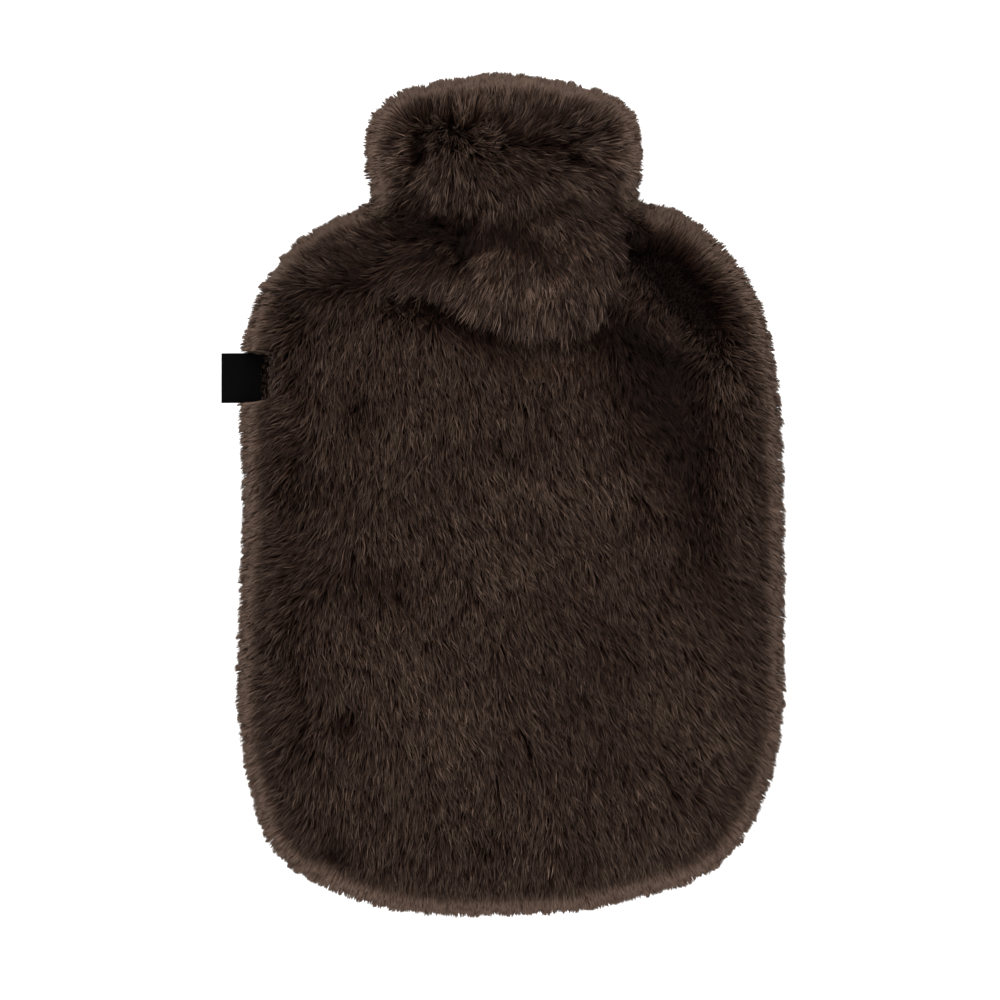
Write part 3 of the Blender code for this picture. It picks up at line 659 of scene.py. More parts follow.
@dataclass
class Pile:
    """Fine tapered strands, gathered in tufts, each a narrow blade of two quads and a tip.

    Widths, tuft and lock sizes are millimetres, turns and rolls are degrees, tones run from 0 to 1,
    rises and leans are shares of the ground's own, and gathers are the share of the way to the middle
    of the tuft or lock that a tip is drawn.
    """

    width: float = 0.52
    width_vary: float = 0.25
    tuft: float = 3.0
    lock: float = 17.0
    gather: float = 0.44
    lock_gather: float = 0.06
    tuft_tone: float = 0.045
    lock_tone: float = 0.03
    tone_spread: float = 0.12
    tuft_turn: float = 14.0
    lock_turn: float = 10.0
    stray_turn: float = 9.0
    mean_rise: float = 0.92
    tuft_rise: float = 0.10
    lock_rise: float = 0.05
    stray_rise: float = 0.07
    soft_rise: float = 0.06
    least_rise: float = 0.5
    most_rise: float = 1.14
    lean_vary: float = 0.15
    tuft_lean: float = 0.1
    blade_roll: float = 28.0
    frizz: float = 0.8
    dark_share: float = 0.3
    dark_step: float = 0.28
    light_part: float = 0.36
    seed: int = 7
    steps: tuple[float, ...] = (0.0, 0.36, 0.72, 1.0)
    widths: tuple[float, ...] = (0.75, 1.0, 0.72, 0.0)
    blunt: tuple[float, ...] = (0.0, 0.1, 0.35, 0.0)
    floor: float = 0.3
    rise_power: float = 1.7
    lean_power: float = 1.5
    pull_power: float = 1.3
    loosening: float = 3.4
    pressed_tone: float = 0.035
    room: LabelRoom = LabelRoom()

    def grow(self, ground: Ground) -> tuple[np.ndarray, ...]:
        """Grows a strand at each point of the ground; those pressed back by the label are darker.

        Args:
            ground: The ground under each strand.

        Returns:
            Centreline points (strand, step, 3), width directions of the same shape, tones and softness.
        """
        rng = np.random.default_rng(self.seed)
        tufts = Tufts(self.tuft, self.seed + 1).of(ground.root)
        locks = Tufts(self.lock, self.seed + 2).of(ground.root)
        free = self.centrelines(ground, tufts, locks, rng)
        points = self.room.parted(free, rng)
        pressed = np.linalg.norm(points[:, -1] - free[:, -1], axis=1)
        points[..., 2] = np.maximum(points[..., 2], self.floor * (1 + np.array(self.steps)))
        side = self.blades(points, ground.normal, rng)
        tone = self.tones(ground, tufts[1], locks[1], rng) - np.minimum(self.pressed_tone * pressed, 0.3)
        return points, side, np.clip(tone, 0.02, 0.98), ground.soft

    def centrelines(
        self, ground: Ground, tufts: tuple[np.ndarray, ...], locks: tuple[np.ndarray, ...],
        rng: np.random.Generator,
    ) -> np.ndarray:
        """Middle line of each strand.

        A strand rises by rise·(1 - (1 - t)^1.7) along the normal while it leans by run·t^1.5 along
        the flow, turned a little by its lock, its tuft and by itself, and is drawn to the centres of
        its tuft and lock by gather·t^1.3.

        Args:
            ground: The ground under each strand.
            tufts: The way to the centre of each strand's tuft, and the tuft's draws.
            locks: The same for its lock.
            rng: Source of the random draws.

        Returns:
            Points (strand, step, 3).
        """
        (to_tuft, tuft), (to_lock, lock) = tufts, locks
        root, normal, count = ground.root, ground.normal, len(ground.depth)
        turn = (
            self.tuft_turn * (2 * tuft[:, 0] - 1)
            + self.lock_turn * (2 * lock[:, 0] - 1)
            + self.stray_turn * rng.standard_normal(count)
        )
        even = 1 - 0.65 * ground.soft
        loose = 1 + self.loosening * np.clip(0.9 - np.linalg.norm(ground.flow, axis=1), 0.0, 1.0)
        turn = np.radians(turn * even * loose)[:, None]
        flow = ground.flow * np.cos(turn) + np.cross(normal, ground.flow) * np.sin(turn)
        stray = self.lock_rise * (2 * lock[:, 1] - 1) + self.stray_rise * rng.standard_normal(count)
        vary = self.tuft_rise * (2 * tuft[:, 1] - 1) + stray * even + self.soft_rise * ground.soft
        rise = np.clip(self.mean_rise + vary, self.least_rise, self.most_rise) * ground.rise
        lean = ground.run * (1 + self.lean_vary * (2 * rng.random(count) - 1))
        lean = lean * (1 + self.tuft_lean * (2 * tuft[:, 2] - 1))
        aside = unit(np.cross(normal, flow + 1e-6)) * (self.frizz * rng.standard_normal((count, 1)))
        pull = (to_tuft * self.gather + to_lock * self.lock_gather) * (1 - 0.55 * ground.soft[:, None])
        pull = lie_in_surface(pull, normal)
        t = np.array(self.steps)[None, :, None]
        return (
            root[:, None]
            + (normal * rise[:, None])[:, None] * (1 - (1 - t) ** self.rise_power)
            + (flow * lean[:, None])[:, None] * t**self.lean_power
            + pull[:, None] * t**self.pull_power
            + aside[:, None] * t**2
        )

    def blades(self, points: np.ndarray, normal: np.ndarray, rng: np.random.Generator) -> np.ndarray:
        """Width direction of each blade along its strand: level, then rolled about it at random.

        Args:
            points: Strand points (strand, step, 3).
            normal: The ground's normal under each strand.
            rng: Source of the random draws.

        Returns:
            Unit vectors, of the points' shape.
        """
        along = unit(np.gradient(points, axis=1))
        flat = unit(np.cross(along, normal[:, None]))
        upright = np.cross(flat, along)
        roll = np.radians(self.blade_roll) * rng.standard_normal((len(points), 1, 1))
        return flat * np.cos(roll) + upright * np.sin(roll)

    def tones(
        self, ground: Ground, tuft: np.ndarray, lock: np.ndarray, rng: np.random.Generator
    ) -> np.ndarray:
        """Tone of each strand: the ground's, varied by its tuft, its lock and itself.

        Args:
            ground: The ground under each strand.
            tuft: Its tuft's draws.
            lock: Its lock's draws.
            rng: Source of the random draws.

        Returns:
            Tones, not yet held between 0 and 1.
        """
        count = len(ground.tone)
        vary = self.tuft_tone * (2 * tuft[:, 2] - 1) + self.lock_tone * (2 * lock[:, 2] - 1)
        vary = vary + self.tone_spread * rng.standard_normal(count)
        dark = rng.random(count) < self.dark_share
        vary = vary + self.dark_step * np.where(dark, -1.0, self.light_part)
        return ground.tone + vary * (1 - 0.85 * ground.soft)

    def mesh(self, name: str, strands: list[np.ndarray]) -> bpy.types.Mesh:
        """Mesh of the strands, with tone and root-to-tip place in its UV map.

        Args:
            name: The mesh's name.
            strands: What grow returns, or the same run out of each of its arrays.

        Returns:
            The mesh, in metres.
        """
        points, side, tone, soft = strands
        count, last = len(points), len(self.steps) - 1
        rng = np.random.default_rng(self.seed + 3)
        half = 0.5 * self.width * (1 + self.width_vary * (2 * rng.random((count, 1, 1)) - 1))
        widths = np.array(self.widths) + soft[:, None] * np.array(self.blunt)
        half = half * widths[..., None]
        pairs = np.stack([points - side * half, points + side * half], axis=2)[:, :last]
        verts = np.concatenate([pairs.reshape(count, 2 * last, 3), points[:, last:]], axis=1)
        per = 2 * last + 1
        quads = np.array([(2 * k, 2 * k + 1, 2 * k + 3, 2 * k + 2) for k in range(last - 1)])
        corners = np.concatenate([quads.ravel(), [2 * last - 2, 2 * last - 1, 2 * last]])
        loops = (np.arange(count)[:, None] * per + corners).ravel()
        sizes = np.tile([4] * (last - 1) + [3], count)
        v = np.array([s for s in self.steps[:last] for _ in (0, 1)] + [1.0])
        u = np.array([-1.0, 1.0] * last + [0.0]) * UV_WIDTH
        uv = np.stack([tone[:, None] + u[corners], np.broadcast_to(v[corners], (count, len(corners)))], -1)
        return raw_mesh(name, verts.reshape(-1, 3), loops, sizes, {PILE_UV: uv.reshape(-1, 2)})


def raw_mesh(
    name: str, points: np.ndarray, loops: np.ndarray, sizes: np.ndarray, maps: dict[str, np.ndarray]
) -> bpy.types.Mesh:
    """Mesh from whole arrays.

    Args:
        name: The mesh's name.
        points: Vertices in millimetres.
        loops: Vertex of each face corner.
        sizes: Corners of each face.
        maps: UV maps by name, one pair for each corner.

    Returns:
        The mesh, in metres, shaded smooth.
    """
    mesh = bpy.data.meshes.new(name)
    mesh.vertices.add(len(points))
    mesh.vertices.foreach_set("co", (points * MM).astype(np.float32).ravel())
    mesh.loops.add(len(loops))
    mesh.loops.foreach_set("vertex_index", loops.astype(np.int32))
    mesh.polygons.add(len(sizes))
    starts = np.cumsum(sizes) - sizes
    mesh.polygons.foreach_set("loop_start", starts.astype(np.int32))
    for map_name, uv in maps.items():
        layer = mesh.uv_layers.new(name=map_name)
        layer.data.foreach_set("uv", uv.astype(np.float32).ravel())
    mesh.update(calc_edges=True)
    mesh.shade_smooth()
    return mesh


def cloth_mesh(name: str, outer: np.ndarray, normal: np.ndarray, thickness: float) -> bpy.types.Mesh:
    """Closed thin shell between a grid of points and the same grid sunk along its normals.

    Args:
        name: The mesh's name.
        outer: Grid of points, rows by columns, in millimetres.
        normal: Outward normals of the grid.
        thickness: How far the inner face is sunk.

    Returns:
        The mesh, in metres, with doubles at its poles merged and faces outwards.
    """
    rows, columns = outer.shape[:2]
    index = np.arange(rows * columns).reshape(rows, columns)
    inner = index + rows * columns
    face = np.stack([index[:-1, :-1], index[:-1, 1:], index[1:, 1:], index[1:, :-1]], -1)
    under = np.stack([inner[:-1, :-1], inner[1:, :-1], inner[1:, 1:], inner[:-1, 1:]], -1)
    rim = np.concatenate([index[0], index[1:, -1], index[-1, -2::-1], index[-2::-1, 0]])
    start, end = rim[:-1], rim[1:]
    wall = np.stack([end, start, start + rows * columns, end + rows * columns], -1)
    faces = np.concatenate([face.reshape(-1, 4), under.reshape(-1, 4), wall])
    points = np.concatenate([outer.reshape(-1, 3), (outer - normal * thickness).reshape(-1, 3)])
    mesh = raw_mesh(name, points, faces.ravel(), np.full(len(faces), 4), {})
    bm = bmesh.new()
    bm.from_mesh(mesh)
    bmesh.ops.remove_doubles(bm, verts=bm.verts, dist=0.02 * MM)
    bmesh.ops.recalc_face_normals(bm, faces=bm.faces)
    bm.to_mesh(mesh)
    bm.free()
    mesh.shade_smooth()
    return mesh


class Nodes:
    """Small helper that adds shader nodes and joins them."""

    def __init__(self, name: str) -> None:
        """Starts a material with an empty tree but for its output.

        Args:
            name: The material's name.
        """
        self.material = bpy.data.materials.new(name)
        self.material.use_nodes = True
        self.tree = self.material.node_tree
        self.tree.nodes.clear()
        self.output = self.add("ShaderNodeOutputMaterial")

    def add(self, kind: str, inputs: dict[str, object] | None = None, **settings: object) -> bpy.types.Node:
        """Adds a node.

        Args:
            kind: Its type.
            inputs: Values or sockets for its inputs, by name or number.
            settings: Its own properties.

        Returns:
            The node.
        """
        node = self.tree.nodes.new(kind)
        for key, value in settings.items():
            setattr(node, key, value)
        for key, value in (inputs or {}).items():
            if isinstance(value, bpy.types.NodeSocket):
                self.tree.links.new(value, node.inputs[key])
            else:
                node.inputs[key].default_value = value
        return node

    def ramp(
        self, value: bpy.types.NodeSocket, stops: list[tuple[float, tuple[float, ...]]]
    ) -> bpy.types.NodeSocket:
        """Colour ramp over a value.

        Args:
            value: What the ramp reads.
            stops: Place and colour of each stop.

        Returns:
            The ramp's colour.
        """
        node = self.add("ShaderNodeValToRGB", {0: value})
        elements = node.color_ramp.elements
        while len(elements) < len(stops):
            elements.new(0.5)
        for element, (place, colour) in zip(elements, stops):
            element.position = place
            element.color = (*colour, 1.0)
        return node.outputs[0]

    def finish(self, colour: object, roughness: float, inputs: dict[str, object]) -> bpy.types.Material:
        """Joins a principled shader to the output.

        Args:
            colour: Its colour, or the socket that gives it.
            roughness: Its roughness.
            inputs: Its further inputs by name.

        Returns:
            The material.
        """
        inputs = {"Base Color": colour, "Roughness": roughness, **inputs}
        shader = self.add("ShaderNodeBsdfPrincipled", inputs)
        self.tree.links.new(shader.outputs[0], self.output.inputs[0])
        return self.material


@dataclass(frozen=True)
class PileFinish:
    """Faux-fur strands: colour by tone, darker towards the root with painted shade and a little lighter at
    the tip.
    """

    name: str
    dark: Triple = (0.0055, 0.0028, 0.0020)
    red: Triple = (0.0165, 0.0078, 0.0055)
    middle: Triple = (0.0292, 0.0168, 0.0114)
    grey: Triple = (0.0510, 0.0338, 0.0252)
    light: Triple = (0.134, 0.088, 0.066)
    # ramp along the strand: painted shade darker towards the root, and a little lighter at the tip
    root: Triple = (0.42, 0.28, 0.23)
    half: Triple = (0.70, 0.60, 0.56)
    tip: Triple = (1.12, 1.12, 1.13)
    roughness: float = 0.62
    specular: float = 0.06

    def material(self) -> bpy.types.Material:
        """Colour = ramp(tone)·ramp(place from root to tip), both from the strand's own UV map.

        Returns:
            The material of the strands.
        """
        nodes = Nodes(self.name)
        uv = nodes.add("ShaderNodeUVMap", uv_map=PILE_UV)
        parts = nodes.add("ShaderNodeSeparateXYZ", {0: uv.outputs[0]})
        tone = nodes.ramp(
            parts.outputs[0],
            [(0.0, self.dark), (0.27, self.red), (0.48, self.middle), (0.68, self.grey), (1.0, self.light)],
        )
        # painted shade towards the root of each strand
        shade = nodes.ramp(
            parts.outputs[1],
            [(0.0, self.root), (0.45, self.half), (0.85, (1.0,) * 3), (1.0, self.tip)],
        )
        colour = nodes.add("ShaderNodeMix", data_type="RGBA", blend_type="MULTIPLY")
        colour.inputs[0].default_value = 1.0
        nodes.tree.links.new(tone, colour.inputs[6])
        nodes.tree.links.new(shade, colour.inputs[7])
        return nodes.finish(colour.outputs[2], self.roughness, {"Specular IOR Level": self.specular})


@dataclass(frozen=True)
class BackingFinish:
    """Knitted backing under the pile: dark, with fine courses and a little mottling."""

    name: str = "knitted backing"
    dark: Triple = (0.0045, 0.0024, 0.0018)
    light: Triple = (0.0105, 0.0060, 0.0045)
    mottling: float = 260.0
    courses: float = 420.0
    roughness: float = 0.9
    specular: float = 0.05

    def material(self) -> bpy.types.Material:
        """Colour from noise and bump from fine waves, both over Object coordinates.

        Returns:
            The material of the backing.
        """
        nodes = Nodes(self.name)
        place = nodes.add("ShaderNodeTexCoord").outputs["Object"]
        noise = nodes.add("ShaderNodeTexNoise", {"Vector": place, "Scale": self.mottling, "Detail": 3.0})
        waves = nodes.add("ShaderNodeTexWave", {"Vector": place, "Scale": self.courses, "Distortion": 1.5})
        colour = nodes.ramp(noise.outputs[0], [(0.3, self.dark), (0.7, self.light)])
        bump = nodes.add("ShaderNodeBump", {"Height": waves.outputs[1], "Strength": 0.4, "Distance": 0.0004})
        inputs = {"Normal": bump.outputs[0], "Specular IOR Level": self.specular}
        return nodes.finish(colour, self.roughness, inputs)


@dataclass(frozen=True)
class LabelFinish:
    """Black woven satin: fine ribs across and along, soft sheen."""

    name: str = "black woven satin"
    dark: Triple = (0.0004, 0.0004, 0.0004)
    light: Triple = (0.0014, 0.0014, 0.0014)
    ribs: float = 2600.0
    roughness: float = 0.45
    specular: float = 0.02

    def material(self) -> bpy.types.Material:
        """Threads = wave along X · wave along Y over Object coordinates, in colour and bump.

        Returns:
            The material of the label.
        """
        nodes = Nodes(self.name)
        place = nodes.add("ShaderNodeTexCoord").outputs["Object"]
        waves = []
        for axis, scale in (("X", self.ribs * 0.5), ("Y", self.ribs)):
            settings = {"Vector": place, "Scale": scale, "Distortion": 0.6}
            waves.append(nodes.add("ShaderNodeTexWave", settings, bands_direction=axis).outputs[1])
        both = nodes.add("ShaderNodeMath", {0: waves[0], 1: waves[1]}, operation="MULTIPLY")
        colour = nodes.ramp(both.outputs[0], [(0.1, self.dark), (0.8, self.light)])
        bump = nodes.add("ShaderNodeBump", {"Height": both.outputs[0], "Strength": 0.5, "Distance": 0.0001})
        inputs = {"Normal": bump.outputs[0], "Specular IOR Level": self.specular}
        return nodes.finish(colour, self.roughness, inputs)


@dataclass(frozen=True)
class FloorFinish:
    """Plain pale floor, lit evenly."""

    name: str = "pale floor"
    colour: Triple = (0.93, 0.93, 0.93)
    roughness: float = 0.9
    glow: float = 0.6

    def material(self) -> bpy.types.Material:
        """A matt white that gives a little light of its own."""
        glow = {"Emission Color": (1.0, 1.0, 1.0, 1.0), "Emission Strength": self.glow}
        return Nodes(self.name).finish((*self.colour, 1.0), self.roughness, glow)


class Held(Enum):
    """How a sheet of cloth is held."""

    LAID = "laid"
    FOLDED = "folded"


@dataclass
class Panel:
    """One fur panel: a backing and its pile.

    The pile is depth deep, and rim_depth more at the outline. Its strands lean by run, and by rim_run
    less at the outline. Within about band of the outline it is even and blunt, and lighter with a painted
    highlight. Its tone is tone before the painted shade of its hollows and its painted shading.
    """

    node: str
    slot: str
    names: tuple[str, ...]
    strands: int
    cut: tuple[float, float]
    cut_area: float
    rests_on: tuple[str, ...]
    pile: Pile
    finish: PileFinish
    backing_step: tuple[int, int] = (5, 4)
    backing_thickness: float = 1.2
    backing_sink: float = 0.2
    depth: float = 9.5
    rim_depth: float = 4.0
    run: float = 11.0
    rim_run: float = 6.0
    band: float = 9.0
    tone: float = 0.50

    def ground(self) -> Ground:
        """The grid that the pile grows on."""
        raise NotImplementedError

    def build(self) -> list[bpy.types.Object]:
        """Builds the backing and the pile's pieces.

        Returns:
            The backing first, then the pile from the bottom up.
        """
        grid = self.ground()
        rows, columns = self.backing_step
        normal = grid.normal[::rows, ::columns]
        root = grid.root[::rows, ::columns] - normal * self.backing_sink
        backing = cloth_mesh(f"{self.node}_backing", root, normal, self.backing_thickness)
        made = [linked(backing)]
        strands = self.pile.grow(grid.scatter(self.strands, np.random.default_rng(self.pile.seed)))
        bounds = np.linspace(0, self.strands, len(self.names) + 1).astype(int)
        for name, low, high in zip(self.names, bounds[:-1], bounds[1:]):
            made.append(linked(self.pile.mesh(name, [values[low:high] for values in strands])))
        return made

    def dress(self, pieces: list[bpy.types.Object]) -> None:
        """Gives the pieces their finishes, hangs them under the root body and hides the part they stand for.

        Args:
            pieces: The backing, then its pile's pieces.
        """
        backing, *piles = pieces
        backing.data.materials.append(BackingFinish(f"{self.node} backing").material())
        fur = self.finish.material()
        for piece in piles:
            piece.data.materials.append(fur)
        for piece in pieces:
            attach(piece, "root")
        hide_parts(self.node)


def linked(mesh: bpy.types.Mesh) -> bpy.types.Object:
    """An object for the mesh, at the origin and in the scene.

    Args:
        mesh: The mesh, which gives the object its name.

    Returns:
        The object.
    """
    piece = bpy.data.objects.new(mesh.name, mesh)
    bpy.context.scene.collection.objects.link(piece)
    return piece


@dataclass
class FrontPanel(Panel):
    """The cover of the body, whose upper hem goes under the flap."""

    rows: int = 266
    columns: int = 161
    stretch_start: float = -10.0
    under_flap: float = 1.15
    tuck: float = 8.5
    depth: float = 11.0
    rim_depth: float = 2.5
    run: float = 9.0
    rim_run: float = 5.0
    band: float = 7.8
    tone: float = 0.46

    def ground(self) -> Ground:
        """Sections up to the hem, which bend to follow it, with the hollows sunk in.

        Under the flap the surface is sunk by tuck, and the pile is shorter, sparser and darker with painted
        shade. In a hollow it is shorter too, and leans less.

        Returns:
            The grid, from the lower pole up to the part under the flap.
        """
        across = FORM.columns(self.columns)[None, :]
        hem_y, band = (through(across, HEM[:, 0], HEM[:, k]) for k in (1, 2))
        y = FORM.rows(int(self.rows * 1.5))
        straight = y[y < self.stretch_start][:, None] + 0 * across
        share = np.linspace(0.0, 1.0, self.rows - len(straight))[:, None]
        top = hem_y + self.under_flap * band
        y = np.vstack([straight, self.stretch_start + share * (top - self.stretch_start)])
        across = across + 0 * y
        points, normal, away, _out = FORM.skin(y, across, front=True)
        hollow = sunk(points, away)
        place = (y - hem_y) / band
        side = at_side(across)
        tucked = self.tuck * ease((place + 0.6) / 0.6) * (1 - side)
        outer = points - normal * (hollow + tucked)[..., None]
        rim = near_rim(away)
        depth = (self.depth + self.rim_depth * rim) * (1 - 0.045 * tucked) * (1 - 0.03 * hollow)
        flow = lie_in_surface(Comb(FRONT_COMB).flow(points), normal)
        run = (self.run - self.rim_run * rim) * (1 - 0.045 * hollow)
        hollow_there, tone, soft = at_tips(points, flow, run, self.band, FRONT_PAINTED_SHADING)
        soft = np.maximum(soft, 0.45 * rim)
        rise, run = over_hollows(depth, run, hollow, hollow_there)
        keep = 1 - 0.7 * (1 - side) * ease((place - 0.3) / 0.5)
        keep = keep * (1 - 0.3 * ease((hollow_there - 7) / 5)) * (1 + 0.5 * soft)
        # painted shade under the flap, deeper where the body is tucked further under it
        tone = self.tone + tone - 0.008 * tucked
        return Ground(outer, normal, flow, depth, rise, run, tone, soft, keep)


def at_side(across: np.ndarray) -> np.ndarray:
    """Share by which the flap is merged with the body's pile, rising from 0 to 1 at each shoulder."""
    return ease((np.maximum(-across - 0.30, across - 0.62)) / 0.24)


def at_tips(
    points: np.ndarray, flow: np.ndarray, run: np.ndarray, band: float, shading: PaintedShading | None = None
) -> tuple[np.ndarray, np.ndarray, np.ndarray]:
    """What strands rooted here meet where they have their tips.

    Args:
        points: Surface over the roots.
        flow: Way the strands lie.
        run: How far they lean.
        band: Width of the soft band along the outline.
        shading: The panel's painted shade and painted light.

    Returns:
        Depth of the hollows there, tone up to 0.41 lighter for the band, a painted highlight along the rim,
        and darker for the hollows, painted shade, and the band's share, ease((1.3·band - distance to the
        outline) / (0.6·band)).
    """
    tips = points + 0.8 * run[..., None] * flow
    away, _out = FORM.nearest_rim(tips)
    soft = ease((1.3 * band - away) / (0.6 * band))
    hollow = sunk(tips, away)
    # painted highlight in the rim's band, painted shade in the hollows
    tone = 0.41 * soft - 0.05 * hollow * (1 - soft)
    # the panel's painted shade and painted light, weaker in the rim's band
    if shading is not None:
        tone = tone + shading.tone(tips) * (1 - 0.4 * soft)
    return hollow, tone, soft


def over_hollows(
    depth: np.ndarray, run: np.ndarray, hollow: np.ndarray, hollow_there: np.ndarray
) -> tuple[np.ndarray, np.ndarray]:
    """Rise and lean of strands that are rooted in one hollow and have their tips over another.

    The rise is depth + 0.8·(hollow at the root - hollow at the tip), from 3 mm to 5 mm over the depth.
    The lean is a twentieth less for each millimetre of the hollow at the tip.

    Args:
        depth: Depth of the pile.
        run: Lean before the hollows.
        hollow: Depth of the hollows at the roots.
        hollow_there: Depth of the hollows at the tips.

    Returns:
        The rise and the lean.
    """
    rise = np.clip(depth + 0.8 * (hollow - hollow_there), 3.0, depth + 5.0)
    return rise, run * (1 - 0.05 * hollow_there)


@dataclass
class HoodPanel(Panel):
    """The cover of the head and neck, which ends below in the flap."""

    flap_rows: int = 44
    neck_rows: int = 32
    head_rows: int = 120
    columns: int = 161
    neck_y: float = 134.0
    flap_bands: tuple[float, float] = (0.02, 1.45)
    raised_below: float = 128.0
    raised_over: float = 34.0
    wall: float = 8.5
    edge: float = 2.3
    downturn: float = 0.8
    depth: float = 13.0
    rim_depth: float = 1.0
    run: float = 10.5
    rim_run: float = 5.5
    band: float = 7.2
    tone: float = 0.43

    def heights(self, across: np.ndarray, hem_y: np.ndarray, band: np.ndarray) -> np.ndarray:
        """Heights of the grid: bands of the flap, then the neck, then sections of the head.

        Args:
            across: Places across, from -1 to 1, in one row.
            hem_y: The flap's lip at each of them.
            band: Width of the flap's bands there.

        Returns:
            y of each row and place.
        """
        flap = hem_y + np.linspace(*self.flap_bands, self.flap_rows)[:, None] * band
        climb = np.linspace(0.0, 1.0, self.neck_rows + 1)[1:, None]
        neck = flap[-1] + climb * (self.neck_y - flap[-1])
        fine = FORM.rows(2000)
        picked = np.linspace(np.searchsorted(fine, self.neck_y), len(fine) - 1, self.head_rows + 1)[1:]
        return np.vstack([flap, neck, fine[picked.astype(int)][:, None] + 0 * across])

    def ground(self) -> Ground:
        """Rows from the hem up to the upper pole.

        The flap is raised off the body, thins to its lip as a quarter round, and merges with the
        shoulders at its sides. Its pile turns down over the lip, and is kept where its tips stay
        within the flap.

        Returns:
            The grid, from the flap's lip up to the upper pole.
        """
        across = FORM.columns(self.columns)[None, :]
        hem_y, band, lift = (through(across, HEM[:, 0], HEM[:, k]) for k in (1, 2, 3))
        y = self.heights(across, hem_y, band)
        across = across + 0 * y
        points, normal, away, _out = FORM.skin(y, across, front=True)
        hollow = sunk(points, away)
        place = (y - hem_y) / band
        side = at_side(across)
        hollow = hollow + deepest(NOTCHES, points)
        raised = lift * ease((self.raised_below - y) / self.raised_over)
        raised = raised * rolled((1 - np.abs(across)) / 0.2)
        lip = rolled(place, 2.0)
        lip = lip + (1 - lip) * side
        height = (raised - hollow + self.wall) * lip + self.edge * (1 - lip) - self.wall
        outer = points + normal * height[..., None]
        on_flap = ease((1.9 - place) / 0.6)
        thickness = height + self.wall * (1 + side) - 0.7
        rim = near_rim(away)
        depth = self.depth + self.rim_depth * rim
        depth = np.where(on_flap > 0, np.minimum(depth + 1.5 * on_flap, thickness - 1.0), depth)
        over = (np.clip(1.35 - place, 0.0, 1.0) * (1 - side))[..., None]
        normal = unit(normal - over * np.array([0.0, self.downturn, 0.0]))
        flow = lie_in_surface(Comb(HOOD_COMB).flow(points), normal)
        flow = flow * (1 - TANGLE.depth(points))[..., None]
        run = (self.run - self.rim_run * rim) * (1 - 0.045 * hollow)
        run = run * (1 + 0.25 * np.clip(1 - place, 0.0, 1.0) * (1 - side))
        hollow_there, tone, soft = at_tips(points, flow, run, self.band, HOOD_PAINTED_SHADING)
        rise, run = over_hollows(depth, run, hollow, hollow_there)
        keep = np.maximum(side, ease((place - 0.5 * np.clip(-flow[..., 1], 0.0, 0.9)) / 0.15))
        keep = keep * (1 - 0.97 * ease((hollow_there - 8) / 3)) * (1 + 0.5 * soft)
        return Ground(outer, normal, flow, depth, rise, run, self.tone + tone, soft, keep)


@dataclass
class BackPanel(Panel):
    """The whole back of the cover, its pile pressed flat where it lies on the surface."""

    rows: int = 261
    columns: int = 161

    def ground(self) -> Ground:
        """Sections over the whole outline, never lower than the surface it lies on.

        Returns:
            The grid, from the lower pole to the upper one.
        """
        across = FORM.columns(self.columns)[None, :]
        y = FORM.rows(self.rows)[:, None]
        across, y = across + 0 * y, y + 0 * across
        points, normal, away, _out = FORM.skin(y, across, front=False)
        points = points - normal * deepest(NOTCHES, points)[..., None]
        points[..., 2] = np.maximum(points[..., 2], 0.0)
        rim = near_rim(away)
        flow = lie_in_surface(Comb(BACK_COMB, power=4.0).flow(points), normal)
        depth, run = self.depth + self.rim_depth * rim, self.run - self.rim_run * rim
        _hollow, _tone, soft = at_tips(points, flow, run, self.band)
        # painted highlight along the rim's band
        tone = self.tone + 0.38 * soft
        return Ground(points, normal, flow, depth, depth, run, tone, soft, np.ones_like(away))


@dataclass
class SideLabel:
    """Black woven label, folded once at its free end and caught in the left seam."""

    node: str = "side_label"
    slot: str = "woven_label"
    out_x: float = -131.1
    in_x: float = -106.6
    low_y: float = 40.7
    high_y: float = 63.2
    ply: float = 0.36
    space: float = 0.42
    over_seam: float = 0.15
    droop: float = 1.6
    wave: float = 0.10
    steps: int = 28
    turns: int = 8
    across: int = 24

    def path(self) -> tuple[np.ndarray, np.ndarray]:
        """Middle line of the cloth, out along the lower ply, round the fold and back.

        Returns:
            Points x, z along it and their normals, away from the space between the plies.
        """
        share = np.linspace(0.0, 1.0, self.steps)
        radius = 0.5 * (self.ply + self.space)
        x = self.in_x + share * (self.out_x + radius + 0.5 * self.ply - self.in_x)
        sag = self.droop * np.clip(2 * share - 1, 0.0, 1.0) ** 2
        low = SEAM_Z + self.over_seam + 0.5 * self.ply - sag
        turn = np.linspace(-0.5 * np.pi, -1.5 * np.pi, self.turns + 2)[1:-1]
        middle = np.array([x[-1], low[-1] + radius])
        fold = middle + radius * np.column_stack([np.cos(turn), np.sin(turn)])
        up = low + 2 * radius
        line = np.vstack([np.column_stack([x, low]), fold, np.column_stack([x, up])[::-1]])
        slope = np.gradient(line, axis=0)
        normal = unit(np.column_stack([-slope[:, 1], slope[:, 0]]))
        return line, -normal

    def build(self) -> bpy.types.Object:
        """Carries the folded line along the label's width, with soft waves in the upper ply.

        Returns:
            The label.
        """
        line, normal = self.path()
        v = np.linspace(0.0, 1.0, self.across)[None, :]
        y = self.low_y + (self.high_y - self.low_y) * v
        wave = self.wave * np.sin(2.3 * np.pi * v) * np.linspace(0.0, 1.0, len(line))[:, None]
        shape = (len(line), self.across)
        points = [np.broadcast_to(line[:, :1], shape), np.broadcast_to(y, shape), line[:, 1:] + wave]
        points = np.stack(points, axis=-1)
        out = [np.broadcast_to(normal[:, :1], shape), np.zeros(shape), np.broadcast_to(normal[:, 1:], shape)]
        out = np.stack(out, axis=-1)
        return linked(cloth_mesh("folded_label", points + 0.5 * self.ply * out, out, self.ply))

    def dress(self, piece: bpy.types.Object) -> None:
        """Gives the label its finish, hangs it under the root body and hides the part it stands for.

        Args:
            piece: The label.
        """
        piece.data.materials.append(LabelFinish().material())
        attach(piece, "root")
        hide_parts(self.node)


